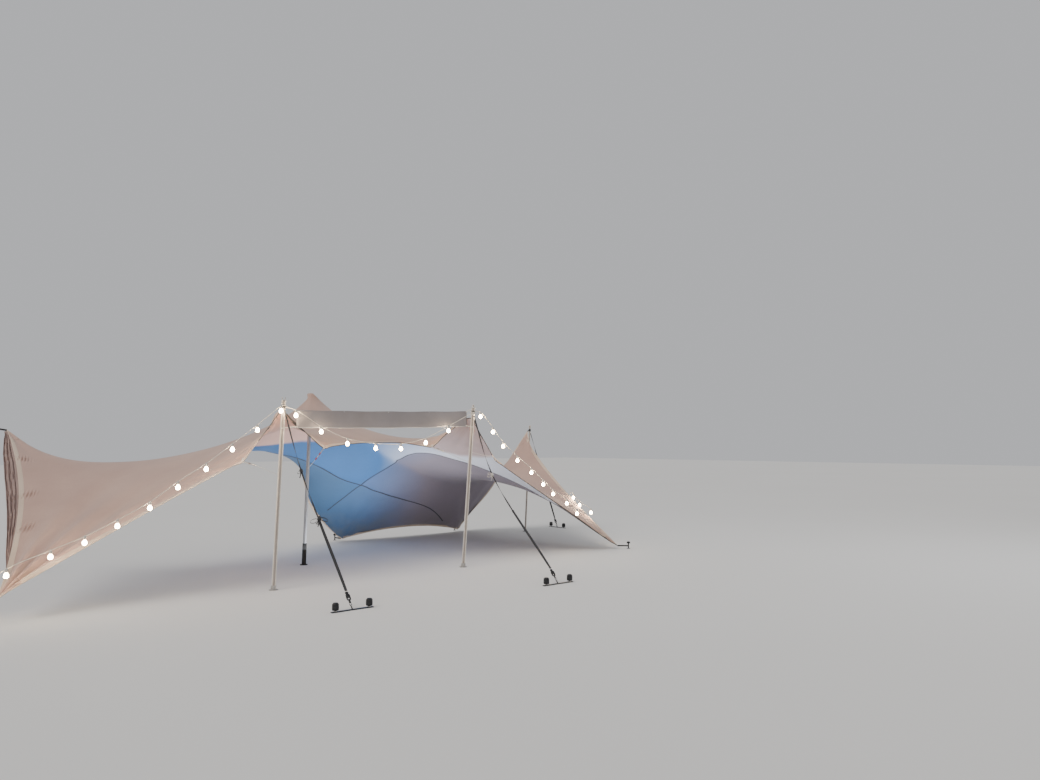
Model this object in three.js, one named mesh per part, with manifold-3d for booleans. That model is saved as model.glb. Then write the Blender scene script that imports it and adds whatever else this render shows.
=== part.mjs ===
import * as THREE from 'three';
import { mergeVertices } from 'three/addons/utils/BufferGeometryUtils.js';
import Module from 'manifold-3d';

// Stretch tent, real size in millimetres. +X runs along the open front from left to right,
// +Y goes into the tent, +Z is up. The origin is under the foot of the king pole.

const wasm = await Module();
wasm.setup();

// Driving dimensions
const CLEAR = 0.4;
const EDGE_CLEAR = 0.15;
const CABLE_END_CLEAR = 3.5;
const CANOPY_THICK = 12;
const GRID_X = 80;
const GRID_Y = 40;
const MESH_STEP = 2;
const KING_CAP_STEP = 50;
const KING_CAP_FALL = 14;

const FRONT_Y = -2120;
const FRONT_MID_X = 360;
const FRONT_POLE_RADIUS = 31;
const SIDE_POLE_RADIUS = 25;
const KING_RADIUS = 32;
const KING_HEIGHT = 3165;
const BOOT_HEIGHT = 70;
const KING_BOOT_HEIGHT = 400;
const BOOT_RADIUS = 40;
const BOOT_RIM = 30;
const BOOT_RIM_THICK = 12;
const HORN_RADIUS = 7;
const HORN_RISE = 60;
const HORN_SPREAD = 8;
const HORN_ROOT = 17;
const SPIGOT_RADIUS = 18;
const STRAP_WIDTH = 35;
const STRAP_THICK = 4;
const HEAD_STRAP_WIDTH = 30;
const HEAD_STRAP_RISE = 60;
const TIE_WIDTH = 20;
const TIE_THICK = 3;
const BULB_RADIUS = 32;
const CABLE_RADIUS = 5;
const CABLE_STEPS_PER_POINT = 3;
const ANCHOR_SPREAD = 510;
const ANCHOR_BAR_WIDTH = 50;
const ANCHOR_BAR_THICK = 12;
const ANCHOR_OVERHANG = 60;
const STAKE_RADIUS = 14;
const STAKE_CAP_RADIUS = 46;
const EYE_RADIUS = 9;
const EYE_LENGTH = 60;
const RATCHET_WIDTH = 56;
const RATCHET_THICK = 34;
const RATCHET_LENGTH = 210;
const KNOT_SHARE = 0.36;
const FRONT_GUY_HEIGHT = 2850;
const SIDE_GUY_HEIGHT = 2640;
const BANNER_HEIGHT = 290;
const BANNER_THICK = 8;
const BANNER_SAG = 15;
const BANNER_STEPS = 6;

// Turns a point measured from the middle of the front into the part's own frame.
const at = (x, y, z) => new THREE.Vector3(x + FRONT_MID_X, y + FRONT_Y, z);

// Poles: where the foot stands and where the top of the pole is
const POLES = {
  front_left: { foot: at(-1812, 0, 0), top: at(-1792, -196, 2905), radius: FRONT_POLE_RADIUS },
  front_right: { foot: at(1804, 0, 0), top: at(1799, -300, 2930), radius: FRONT_POLE_RADIUS },
  king: { foot: at(-360, 2120, 0), top: at(-290, 2105, KING_HEIGHT), radius: KING_RADIUS },
  side_left: { foot: at(-5200, 3900, 0), top: at(-5300, 3960, 2720), radius: SIDE_POLE_RADIUS },
  side_right: { foot: at(6510, 3820, 0), top: at(6720, 3880, 2720), radius: SIDE_POLE_RADIUS },
};

// Points that hold the canopy
const CORNER_LEFT = at(-5420, -50, 320);
const CORNER_RIGHT = at(5830, -100, 75);
const PEAK_FRONT_LEFT = at(-1785, -110, 2780);
const PEAK_FRONT_RIGHT = at(1880, -190, 2730);
const PEAK_SIDE_LEFT = at(-4970, 3800, 2500);
const PEAK_SIDE_RIGHT = at(6440, 3650, 2600);
const REAR_LEFT_PEG = at(1870, 5030, 60);
const REAR_RIGHT_PEG = at(5200, 5000, 60);
const KING_TOP = at(-290, 2105, 3239);

// From a front peak to the next held point into the tent, and to its shoulder on the banner's side
const PEAK_FALL = new THREE.Vector3(0, 160, -15);
const SHOULDER_FALL = new THREE.Vector3(-240, 0, -35);

// Rear edge on both sides of the pegged part, from the raised corner to the peg and back up
const REAR_EDGE_LEFT = [
  PEAK_SIDE_LEFT, at(-4300, 3150, 1960), at(-3300, 2820, 1740), at(-2100, 2950, 1940), at(-920, 3450, 2190),
  at(90, 4000, 2020), at(450, 4200, 1800), at(660, 4420, 1370), at(860, 4620, 960), at(1330, 4870, 490),
  REAR_LEFT_PEG,
];
const REAR_EDGE_RIGHT = [
  REAR_RIGHT_PEG, at(5580, 4850, 550), at(5880, 4500, 1090), at(6080, 4100, 1720), PEAK_SIDE_RIGHT,
];

// Points of the front edge that are drawn in by a short tie, and the grid columns that end there
const KINKS = [
  [24, at(-2360, -50, 2000)], [32, at(-1030, -50, 2200)], [48, at(1080, -50, 2210)], [56, at(2500, -50, 1960)],
];
const COLUMN_WING_LEFT = 24;
const COLUMN_WING_RIGHT = 56;

// Columns of the canopy's grid that end in a held point of the front or rear edge
const COLUMN_POLE_LEFT = 28;
const COLUMN_POLE_RIGHT = 52;
const COLUMN_PEG_LEFT = 46;
const COLUMN_PEG_RIGHT = 64;
const KING_COLUMN = 37;
const KING_ROW = 19;
const REAR_SQUEEZE = 0.46;

// How hard the edges and the stiffer parts of the cloth are pulled, the plain cloth being 1
const PULL = {
  frontLeft: 50, frontMiddle: 20, frontRight: 32, rear: 60, left: 110, right: 190,
  ridge: 12, valley: 3, pole: 4, rightHem: 5,
};
const RIDGE_WIDTH = 3.5;
const VALLEY_COLUMN = 44;
const VALLEY_WIDTH = 3;
const POLE_PULL_WIDTH = 1.8;
const POLE_PULL_DEPTH = 9;
const RIGHT_HEM_COLUMN = 54;
const RIGHT_HEM_DEPTH = 4;

// Settling of the canopy's nodes
const START_DEPTH = 5000;
const START_HEIGHT = 2000;
const OVER_STEP = 1.93;
const STILL = 1e-4;
const MOST_ROUNDS = 20000;

// Ends of the banner's middle line
const BANNER_LEFT = at(-1590, -230, 2660);
const BANNER_RIGHT = at(1700, -230, 2730);

function finish(name, color, roughness, metalness = 0) {
  return new THREE.MeshStandardMaterial({ name, color, roughness, metalness });
}

const steel = finish('galvanised_steel', 0xb8b4a8, 0.45, 0.8);
const darkSteel = finish('king_pole_steel', 0x8d9094, 0.5, 0.7);
const blackSteel = finish('black_steel', 0x242426, 0.6, 0.6);
const rubber = finish('black_rubber', 0x18181a, 0.9);
const fabric = finish('canopy_fabric', 0xac968c, 0.9);
const webbing = finish('black_webbing', 0x1c1b1d, 0.85);
const bannerCloth = finish('banner_cloth', 0x989088, 0.8);
const lampGlass = finish('festoon_lamp', 0xfff0d0, 0.3);

const UP = new THREE.Vector3(0, 0, 1);

const group = new THREE.Group();
group.name = 'stretch_tent';

function add(name, geometry, material) {
  const mesh = new THREE.Mesh(geometry, material);
  mesh.name = name;
  group.add(mesh);
}

// Joining of solids
function toManifold(geometry) {
  const bare = geometry.clone();
  bare.deleteAttribute('normal');
  bare.deleteAttribute('uv');
  const merged = mergeVertices(bare, 1e-3);
  return new wasm.Manifold(new wasm.Mesh({
    numProp: 3,
    vertProperties: new Float32Array(merged.attributes.position.array),
    triVerts: new Uint32Array(merged.index.array),
  }));
}

function join(geometries) {
  let whole = toManifold(geometries[0]);
  for (const geometry of geometries.slice(1)) {
    whole = whole.add(toManifold(geometry));
  }
  const out = whole.getMesh();
  const joined = new THREE.BufferGeometry();
  joined.setAttribute('position', new THREE.BufferAttribute(new Float32Array(out.vertProperties), 3));
  joined.setIndex(new THREE.BufferAttribute(new Uint32Array(out.triVerts), 1));
  joined.computeVertexNormals();
  return joined;
}

// A round solid whose profile is turned about the line from `base` along `direction`
function turned(profile, base, direction, segments = 16) {
  const points = profile.map(([r, h]) => new THREE.Vector2(r, h));
  const geometry = new THREE.LatheGeometry(points, segments);
  const own = new THREE.Vector3(0, 1, 0);
  const spin = new THREE.Quaternion().setFromUnitVectors(own, direction.clone().normalize());
  geometry.applyQuaternion(spin);
  geometry.translate(base.x, base.y, base.z);
  return geometry;
}

function rod(from, to, radius, segments = 16) {
  const length = from.distanceTo(to);
  return turned([[0, 0], [radius, 0], [radius, length], [0, length]], from, to.clone().sub(from), segments);
}

// A closed bar of four-cornered section laid along a row of points
function ribbon(points, width, thick, across) {
  const count = points.length;
  const positions = [];
  for (let k = 0; k < count; k += 1) {
    const before = points[Math.max(k - 1, 0)];
    const after = points[Math.min(k + 1, count - 1)];
    const along = after.clone().sub(before).normalize();
    const side = across.clone().addScaledVector(along, -across.dot(along)).normalize();
    const up = new THREE.Vector3().crossVectors(side, along);
    for (const [a, b] of [[-1, -1], [1, -1], [1, 1], [-1, 1]]) {
      const corner = points[k].clone().addScaledVector(side, a * width / 2).addScaledVector(up, b * thick / 2);
      positions.push(corner.x, corner.y, corner.z);
    }
  }
  const index = [];
  for (let k = 0; k + 1 < count; k += 1) {
    for (let c = 0; c < 4; c += 1) {
      const a = 4 * k + c;
      const b = 4 * k + (c + 1) % 4;
      index.push(a, a + 4, b, b, a + 4, b + 4);
    }
  }
  const last = 4 * (count - 1);
  index.push(0, 1, 2, 0, 2, 3);
  index.push(last, last + 2, last + 1, last, last + 3, last + 2);
  const geometry = new THREE.BufferGeometry();
  geometry.setAttribute('position', new THREE.Float32BufferAttribute(positions, 3));
  geometry.setIndex(index);
  return outward(geometry);
}

// Turns every face over when the body was wound inside out
function outward(geometry) {
  const p = geometry.attributes.position;
  const index = geometry.index.array;
  let volume = 0;
  const a = new THREE.Vector3();
  const b = new THREE.Vector3();
  const c = new THREE.Vector3();
  for (let k = 0; k < index.length; k += 3) {
    a.fromBufferAttribute(p, index[k]);
    b.fromBufferAttribute(p, index[k + 1]);
    c.fromBufferAttribute(p, index[k + 2]);
    volume += a.dot(b.cross(c)) / 6;
  }
  if (volume < 0) {
    const flipped = [];
    for (let k = 0; k < index.length; k += 3) {
      flipped.push(index[k], index[k + 2], index[k + 1]);
    }
    geometry.setIndex(flipped);
  }
  geometry.computeVertexNormals();
  return geometry;
}

// Points along a smooth curve, closer together towards its start the larger `squeeze` is
function alongCurve(points, count, squeeze) {
  const curve = new THREE.CatmullRomCurve3(points, false, 'centripetal');
  const out = [];
  for (let k = 0; k <= count; k += 1) {
    const t = k / count;
    out.push(curve.getPointAt(Math.min(1, t - squeeze * t * (1 - t))));
  }
  return out;
}

// Form of the canopy: every node settles at the weighted mean of its neighbours,
// the edges being pulled harder than the cloth.
function heldNodes() {
  const held = new Map();
  const hold = (i, j, point) => held.set(j * (GRID_X + 1) + i, point);
  hold(0, 0, CORNER_LEFT);
  hold(GRID_X, 0, CORNER_RIGHT);
  for (const [column, point] of KINKS) hold(column, 0, point);
  for (const [column, peak] of [[COLUMN_POLE_LEFT, PEAK_FRONT_LEFT], [COLUMN_POLE_RIGHT, PEAK_FRONT_RIGHT]]) {
    hold(column, 0, peak);
    hold(column, 1, peak.clone().add(PEAK_FALL));
  }
  const shoulder = PEAK_FRONT_RIGHT.clone().add(SHOULDER_FALL);
  hold(COLUMN_POLE_RIGHT - 1, 0, shoulder);
  hold(COLUMN_POLE_RIGHT - 1, 1, shoulder.clone().add(PEAK_FALL));
  alongCurve(REAR_EDGE_LEFT, COLUMN_PEG_LEFT, REAR_SQUEEZE).forEach((point, k) => hold(k, GRID_Y, point));
  alongCurve(REAR_EDGE_RIGHT, GRID_X - COLUMN_PEG_RIGHT, 0).forEach((point, k) => {
    hold(COLUMN_PEG_RIGHT + k, GRID_Y, point);
  });
  for (const di of [-1, 0, 1]) {
    for (const dj of [-1, 0, 1]) {
      const fall = KING_CAP_FALL * (di * di + dj * dj);
      const offset = new THREE.Vector3(KING_CAP_STEP * di, KING_CAP_STEP * dj, -fall);
      hold(KING_COLUMN + di, KING_ROW + dj, KING_TOP.clone().add(offset));
    }
  }
  return held;
}

const bell = (x, width) => Math.exp(-((x / width) ** 2));

// How far a node lies from the ridge between the king pole and the right side pole, in cells
function fromRidge(i, j) {
  const node = new THREE.Vector2(i, j);
  const start = new THREE.Vector2(KING_COLUMN + 1, KING_ROW + 1);
  const run = new THREE.Vector2(GRID_X, GRID_Y).sub(start);
  const t = THREE.MathUtils.clamp(node.clone().sub(start).dot(run) / run.lengthSq(), 0, 1);
  return node.distanceTo(start.addScaledVector(run, t));
}

// Pull between a node and the next one, along the front (di = 1) or into the tent (di = 0)
function pull(i, j, di) {
  if (di === 1 && j === 0) {
    if (i < COLUMN_WING_LEFT) return PULL.frontLeft;
    return i < COLUMN_WING_RIGHT ? PULL.frontMiddle : PULL.frontRight;
  }
  if (di === 1 && j === GRID_Y) return PULL.rear;
  if (di === 0 && i === 0) return PULL.left;
  if (di === 0 && i === GRID_X) return PULL.right;
  let force = 1 + PULL.ridge * bell(fromRidge(i, j), RIDGE_WIDTH);
  if (di === 1 && i >= RIGHT_HEM_COLUMN) force += PULL.rightHem * bell(j, RIGHT_HEM_DEPTH);
  if (di === 0) {
    const beside = bell(i - COLUMN_POLE_LEFT, POLE_PULL_WIDTH) + bell(i - COLUMN_POLE_RIGHT, POLE_PULL_WIDTH);
    force += PULL.pole * bell(j, POLE_PULL_DEPTH) * beside;
    force += PULL.valley * bell(i - VALLEY_COLUMN, VALLEY_WIDTH);
  }
  return force;
}

function canopyNodes() {
  const row = GRID_X + 1;
  const total = row * (GRID_Y + 1);
  const held = heldNodes();
  const position = new Float64Array(3 * total);
  const links = [];
  for (let j = 0; j <= GRID_Y; j += 1) {
    for (let i = 0; i <= GRID_X; i += 1) {
      const k = j * row + i;
      const start = CORNER_LEFT.clone().lerp(CORNER_RIGHT, i / GRID_X);
      start.y += START_DEPTH * j / GRID_Y;
      start.z = START_HEIGHT;
      (held.get(k) ?? start).toArray(position, 3 * k);
      if (held.has(k)) continue;
      const near = [];
      if (i > 0) near.push([k - 1, pull(i - 1, j, 1)]);
      if (i < GRID_X) near.push([k + 1, pull(i, j, 1)]);
      if (j > 0) near.push([k - row, pull(i, j - 1, 0)]);
      if (j < GRID_Y) near.push([k + row, pull(i, j, 0)]);
      const whole = near.reduce((sum, [, force]) => sum + force, 0);
      links.push([k, near.map(([n, force]) => [n, force / whole])]);
    }
  }
  for (let round = 0; round < MOST_ROUNDS; round += 1) {
    let moved = 0;
    for (const [k, near] of links) {
      for (let axis = 0; axis < 3; axis += 1) {
        let mean = 0;
        for (const [n, share] of near) mean += share * position[3 * n + axis];
        const step = OVER_STEP * (mean - position[3 * k + axis]);
        position[3 * k + axis] += step;
        moved = Math.max(moved, Math.abs(step));
      }
    }
    if (moved < STILL) break;
  }
  const nodes = [];
  for (let j = 0; j <= GRID_Y; j += MESH_STEP) {
    for (let i = 0; i <= GRID_X; i += MESH_STEP) {
      nodes.push(new THREE.Vector3().fromArray(position, 3 * (j * row + i)));
    }
  }
  return nodes;
}

// Middle surface of the canopy with its faces and the direction square to it at every node
const COLUMNS = GRID_X / MESH_STEP;
const ROWS = GRID_Y / MESH_STEP;
const cloth = { nodes: canopyNodes(), faces: [], normals: [] };
for (let j = 0; j < ROWS; j += 1) {
  for (let i = 0; i < COLUMNS; i += 1) {
    const a = j * (COLUMNS + 1) + i;
    cloth.faces.push([a, a + 1, a + COLUMNS + 2], [a, a + COLUMNS + 2, a + COLUMNS + 1]);
  }
}
{
  const middle = new THREE.BufferGeometry();
  middle.setAttribute('position', new THREE.Float32BufferAttribute(cloth.nodes.flatMap((n) => n.toArray()), 3));
  middle.setIndex(cloth.faces.flat());
  middle.computeVertexNormals();
  cloth.normals = cloth.nodes.map((_, k) => new THREE.Vector3().fromBufferAttribute(middle.attributes.normal, k));
}

// How far from a node of the rim something that leaves it along a direction has to start
function clothGap(column, rowNumber, direction) {
  const k = rowNumber / MESH_STEP * (COLUMNS + 1) + column / MESH_STEP;
  return CLEAR + CANOPY_THICK / 2 * Math.abs(cloth.normals[k].dot(direction));
}

// The canopy as a closed body of even thickness
function canopy() {
  const { nodes, faces, normals } = cloth;
  const row = COLUMNS + 1;
  const total = nodes.length;
  const positions = [];
  for (const side of [0.5, -0.5]) {
    nodes.forEach((node, k) => {
      positions.push(...node.clone().addScaledVector(normals[k], side * CANOPY_THICK).toArray());
    });
  }
  const rim = [];
  for (let i = 0; i < COLUMNS; i += 1) rim.push(i);
  for (let j = 0; j < ROWS; j += 1) rim.push(j * row + COLUMNS);
  for (let i = COLUMNS; i > 0; i -= 1) rim.push(ROWS * row + i);
  for (let j = ROWS; j > 0; j -= 1) rim.push(j * row);
  const index = [];
  for (const [a, b, c] of faces) {
    index.push(a, b, c, a + total, c + total, b + total);
  }
  rim.forEach((a, k) => {
    const b = rim[(k + 1) % rim.length];
    index.push(b, a, a + total, b, a + total, b + total);
  });
  const geometry = new THREE.BufferGeometry();
  geometry.setAttribute('position', new THREE.Float32BufferAttribute(positions, 3));
  geometry.setIndex(index);
  return outward(geometry);
}

// Pole and its boot on the ground
function pole(name, { foot, top, radius }) {
  const along = top.clone().sub(foot).normalize();
  const bootHeight = name === 'king' ? KING_BOOT_HEIGHT : BOOT_HEIGHT;
  const lean = Math.hypot(along.x, along.y);
  const start = foot.clone().addScaledVector(along, (bootHeight + radius * lean + CLEAR) / along.z);
  add(`pole_${name}`, rod(start, top, radius), name === 'king' ? darkSteel : steel);
  const bootTop = foot.clone().addScaledVector(along, bootHeight / along.z);
  const rim = BOOT_RADIUS + BOOT_RIM;
  add(`boot_${name}`, join([
    turned([[0, 0], [rim, 0], [rim, BOOT_RIM_THICK], [0, BOOT_RIM_THICK]], foot, UP),
    leaningBar(foot, bootTop, BOOT_RADIUS),
  ]), name === 'king' ? rubber : steel);
}

// A round bar with level ends whose axis may lean
function leaningBar(from, to, radius, sides = 16) {
  const positions = [];
  for (const point of [from, to]) {
    for (let s = 0; s < sides; s += 1) {
      const turn = 2 * Math.PI * s / sides;
      positions.push(point.x + radius * Math.cos(turn), point.y + radius * Math.sin(turn), point.z);
    }
  }
  const index = [];
  for (let s = 0; s < sides; s += 1) {
    const b = (s + 1) % sides;
    index.push(s, b, s + sides, b, b + sides, s + sides);
  }
  for (let s = 1; s + 1 < sides; s += 1) {
    index.push(0, s + 1, s, sides, sides + s, sides + s + 1);
  }
  const geometry = new THREE.BufferGeometry();
  geometry.setAttribute('position', new THREE.Float32BufferAttribute(positions, 3));
  geometry.setIndex(index);
  return outward(geometry);
}

for (const [name, spec] of Object.entries(POLES)) pole(name, spec);

// Heads of the four outer poles: a cap a little wider than the tube, with two horns on the front left one
// and a narrow spigot on the front right one
for (const name of ['front_left', 'front_right', 'side_left', 'side_right']) {
  const { foot, top, radius } = POLES[name];
  const along = top.clone().sub(foot).normalize();
  const base = top.clone().addScaledVector(along, CLEAR);
  const cap = name === 'front_right'
    ? [[0, 0], [radius + 2, 0], [radius + 2, 12], [SPIGOT_RADIUS, 20], [SPIGOT_RADIUS, 58], [10, 64], [0, 64]]
    : [[0, 0], [radius + 3, 0], [radius + 3, 40], [radius - 4, 52], [0, 52]];
  const parts = [turned(cap, base, along)];
  if (name === 'front_left') {
    for (const side of [-1, 1]) {
      const root = base.clone().addScaledVector(along, 30).add(new THREE.Vector3(HORN_ROOT * side, 0, 0));
      const tip = root.clone().add(new THREE.Vector3(HORN_SPREAD * side, 0, HORN_RISE));
      parts.push(rod(root, tip, HORN_RADIUS, 8));
    }
  }
  add(`head_${name}`, join(parts), steel);
}

// Dome on the king pole, flat against the underside of the canopy's top
{
  const { foot, top, radius } = POLES.king;
  const along = top.clone().sub(foot).normalize();
  const base = top.clone();
  base.z += radius * Math.hypot(along.x, along.y) + CLEAR;
  const cap = [];
  for (const j of [KING_ROW - 1, KING_ROW + 1]) {
    for (const i of [KING_COLUMN - 1, KING_COLUMN + 1]) {
      const k = j / MESH_STEP * (COLUMNS + 1) + i / MESH_STEP;
      cap.push(cloth.nodes[k].z - cloth.normals[k].z * CANOPY_THICK / 2);
    }
  }
  const thick = Math.min(...cap) - CLEAR - base.z;
  const profile = [[0, 0], [46, 0], [52, thick * 0.3], [48, thick * 0.8], [36, thick], [0, thick]];
  add('head_king', turned(profile, base, UP), rubber);
}

add('canopy', canopy(), fabric);

// A strap laid along a row of points
function strap(points, width, across) {
  return ribbon(points, width, STRAP_THICK, across);
}

// Point on a pole's axis at a height
function onPole(name, height) {
  const { foot, top } = POLES[name];
  return foot.clone().lerp(top, height / top.z);
}

// How far from a tube's axis something leaving along a direction has to start so that it clears the tube
function tubeGap(radius, axis, direction, halfWidth) {
  const cosine = Math.abs(axis.dot(direction));
  return (radius + CLEAR + halfWidth * cosine) / Math.sqrt(1 - cosine * cosine);
}

function poleSeat(name, height, toward, halfWidth) {
  const { foot, top, radius } = POLES[name];
  const start = onPole(name, height);
  const direction = toward.clone().sub(start).normalize();
  const axis = top.clone().sub(foot).normalize();
  return start.addScaledVector(direction, tubeGap(radius, axis, direction, halfWidth));
}

function clothSeat(node, column, rowNumber, toward, more = 0) {
  const direction = toward.clone().sub(node).normalize();
  return node.clone().addScaledVector(direction, clothGap(column, rowNumber, direction) + more);
}

// Short straps that tie the canopy to the heads of the outer poles
for (const [name, peak, column, rowNumber] of [
  ['front_left', PEAK_FRONT_LEFT, COLUMN_POLE_LEFT, 0],
  ['front_right', PEAK_FRONT_RIGHT, COLUMN_POLE_RIGHT, 0],
  ['side_left', PEAK_SIDE_LEFT, 0, GRID_Y],
  ['side_right', PEAK_SIDE_RIGHT, GRID_X, GRID_Y],
]) {
  const height = peak.z + HEAD_STRAP_RISE;
  const low = clothSeat(peak, column, rowNumber, onPole(name, height), EDGE_CLEAR);
  const high = poleSeat(name, height, peak, HEAD_STRAP_WIDTH / 2);
  add(`head_strap_${name}`, strap([low, high], HEAD_STRAP_WIDTH, UP), webbing);
}

// A ground anchor: a steel bar lying on the ground with two capped stakes driven through it
function anchor(name, centre, along, toHead) {
  const half = ANCHOR_SPREAD / 2;
  const a = centre.clone().addScaledVector(along, -half);
  const b = centre.clone().addScaledVector(along, half);
  const barFrom = a.clone().addScaledVector(along, -ANCHOR_OVERHANG).setZ(ANCHOR_BAR_THICK / 2);
  const barTo = b.clone().addScaledVector(along, ANCHOR_OVERHANG).setZ(ANCHOR_BAR_THICK / 2);
  const square = new THREE.Vector3().crossVectors(UP, along);
  const bar = ribbon([barFrom, barTo], ANCHOR_BAR_WIDTH, ANCHOR_BAR_THICK, square);
  const stake = [
    [0, 1], [STAKE_RADIUS, 1], [STAKE_RADIUS, 28], [STAKE_CAP_RADIUS, 32], [STAKE_CAP_RADIUS, 112],
    [30, 130], [0, 134],
  ];
  const eyeFoot = centre.clone().setZ(4);
  const eye = rod(eyeFoot, eyeFoot.clone().addScaledVector(toHead, EYE_LENGTH), EYE_RADIUS, 12);
  add(name, join([bar, turned(stake, a, UP), turned(stake, b, UP), eye]), blackSteel);
}

// A guy from a pole head down to its anchor, with the ratchet close to the ground.
// `hang` moves the strap off the straight line where it is knotted, a third of the way down.
function guy(name, height, ground, along, hang) {
  const head = onPole(name, height);
  const eyeFoot = ground.clone().setZ(4);
  const down = eyeFoot.clone().sub(head).normalize();
  const back = down.clone().negate();
  const eyeTop = eyeFoot.clone().addScaledVector(back, EYE_LENGTH + CLEAR);
  const ratchetTop = eyeTop.clone().addScaledVector(back, RATCHET_LENGTH);
  const across = new THREE.Vector3().crossVectors(UP, down).normalize();
  anchor(`anchor_${name}`, ground, along, back);
  add(`ratchet_${name}`, ribbon([eyeTop, ratchetTop], RATCHET_WIDTH, RATCHET_THICK, across), blackSteel);
  const knot = head.clone().lerp(ratchetTop, KNOT_SHARE).add(hang);
  const top = poleSeat(name, height, knot, STRAP_THICK / 2);
  const skew = knot.clone().sub(ratchetTop).normalize().cross(back).length();
  const low = ratchetTop.clone().addScaledVector(back, CLEAR + STRAP_WIDTH / 2 * skew);
  const curve = new THREE.CatmullRomCurve3([top, knot, low], false, 'centripetal');
  const route = hang.length() > 0 ? curve.getPoints(8) : [top, low];
  add(`guy_${name}`, strap(route, STRAP_WIDTH, across), webbing);
}

const ANCHOR_LINE = new THREE.Vector3(1, 0, 0);
const SIDE_LINE = new THREE.Vector3(0, 1, 0);
const TAUT = new THREE.Vector3(0, 0, 0);
guy('front_left', FRONT_GUY_HEIGHT, at(-1560, -2120, 0), ANCHOR_LINE, new THREE.Vector3(-50, 0, -40));
guy('front_right', FRONT_GUY_HEIGHT, at(1960, -2430, 0), ANCHOR_LINE, new THREE.Vector3(-150, 0, -170));
guy('side_left', SIDE_GUY_HEIGHT, at(-6600, 4200, 0), SIDE_LINE, TAUT);
guy('side_right', SIDE_GUY_HEIGHT, at(7850, 4050, 0), SIDE_LINE, TAUT);

// Stakes that hold the corners and the rear edge at the ground, each with its strap
const PEG_SHAFT = 13;
const PEG_COLLAR = 38;
const PEG_STRAP_HEIGHT = 60;
const CABLE_END_HEIGHT = 126;
const PEG = [
  [0, 0], [40, 0], [40, 6], [PEG_SHAFT, 8], [PEG_SHAFT, 110], [PEG_COLLAR, 114], [PEG_COLLAR, 138],
  [24, 152], [0, 156],
];
const PEGS = {
  corner_left: { foot: at(-6000, -150, 0), corner: CORNER_LEFT, column: 0, rowNumber: 0 },
  corner_right: { foot: at(6080, -190, 0), corner: CORNER_RIGHT, column: GRID_X, rowNumber: 0 },
  rear_left: { foot: at(1830, 5270, 0), corner: REAR_LEFT_PEG, column: COLUMN_PEG_LEFT, rowNumber: GRID_Y },
  rear_right: { foot: at(5260, 5240, 0), corner: REAR_RIGHT_PEG, column: COLUMN_PEG_RIGHT, rowNumber: GRID_Y },
};

function pegSeat(foot, height, toward, radius, halfWidth) {
  const start = foot.clone().setZ(height);
  const direction = toward.clone().sub(start).normalize();
  return start.addScaledVector(direction, tubeGap(radius, UP, direction, halfWidth));
}

for (const [name, { foot, corner, column, rowNumber }] of Object.entries(PEGS)) {
  add(`peg_${name}`, turned(PEG, foot, UP), blackSteel);
  const high = clothSeat(corner, column, rowNumber, foot.clone().setZ(PEG_STRAP_HEIGHT));
  const low = pegSeat(foot, PEG_STRAP_HEIGHT, corner, PEG_SHAFT, HEAD_STRAP_WIDTH / 2);
  add(`peg_strap_${name}`, strap([high, low], HEAD_STRAP_WIDTH, UP), webbing);
}

// Banner between the two front poles, bare, with a tie at each of its corners
{
  const points = [];
  for (let k = 0; k <= BANNER_STEPS; k += 1) {
    const t = k / BANNER_STEPS;
    const point = BANNER_LEFT.clone().lerp(BANNER_RIGHT, t);
    point.z -= 4 * BANNER_SAG * t * (1 - t);
    points.push(point);
  }
  const parts = [ribbon(points, BANNER_HEIGHT, BANNER_THICK, UP)];
  for (const [name, end, inward] of [['front_left', BANNER_LEFT, 20], ['front_right', BANNER_RIGHT, -20]]) {
    for (const side of [-1, 1]) {
      const corner = end.clone().add(new THREE.Vector3(inward, 0, 120 * side));
      const seat = poleSeat(name, corner.z + 10 * side, corner, TIE_WIDTH / 2);
      parts.push(ribbon([corner, seat], TIE_WIDTH, TIE_THICK, UP));
    }
  }
  add('banner', join(parts), bannerCloth);
}

// Strings of lamps: the cable with its lampholders and lamps as one body each
const LAMP = [[0, 0], [13, 0], [13, 48], [BULB_RADIUS - 2, 84], [22, 115], [0, 122]];
const DOWN = new THREE.Vector3(0, 0, -1);
function festoon(name, points, bare) {
  const curve = new THREE.CatmullRomCurve3(points, false, 'centripetal');
  const round = new THREE.Shape();
  round.absarc(0, 0, CABLE_RADIUS, 0, 2 * Math.PI, false);
  const steps = CABLE_STEPS_PER_POINT * points.length;
  const cable = new THREE.ExtrudeGeometry(round, { steps, curveSegments: 4, extrudePath: curve });
  const lamps = points.filter((_, k) => !bare.includes(k)).map((point) => turned(LAMP, point, DOWN, 8));
  add(name, join([cable, ...lamps]), lampGlass);
}

const leftRun = [
  at(-1865, -280, 2860), at(-2228, -275, 2560), at(-2600, -275, 2268), at(-2969, -270, 1985), at(-3353, -270, 1734),
  at(-3715, -265, 1463), at(-4116, -260, 1240), at(-4503, -255, 1047), at(-4887, -245, 895), at(-5358, -230, 704),
  at(-5760, -200, 410),
];
const leftEnd = pegSeat(PEGS.corner_left.foot, CABLE_END_HEIGHT, leftRun.at(-1), PEG_COLLAR, CABLE_RADIUS);
festoon('festoon_left', [poleSeat('front_left', 2880, leftRun[0], CABLE_RADIUS), ...leftRun, leftEnd], [0, 11, 12]);

const middleRun = [
  at(-1640, -320, 2794), at(-1216, -330, 2544), at(-756, -330, 2355), at(-234, -330, 2279),
  at(250, -330, 2268), at(752, -330, 2374), at(1223, -340, 2588),
];
festoon('festoon_middle', [
  poleSeat('front_left', 2850, middleRun[0], CABLE_RADIUS), ...middleRun,
  poleSeat('front_right', 2850, middleRun.at(-1), CABLE_RADIUS),
], [0, 8]);

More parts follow.
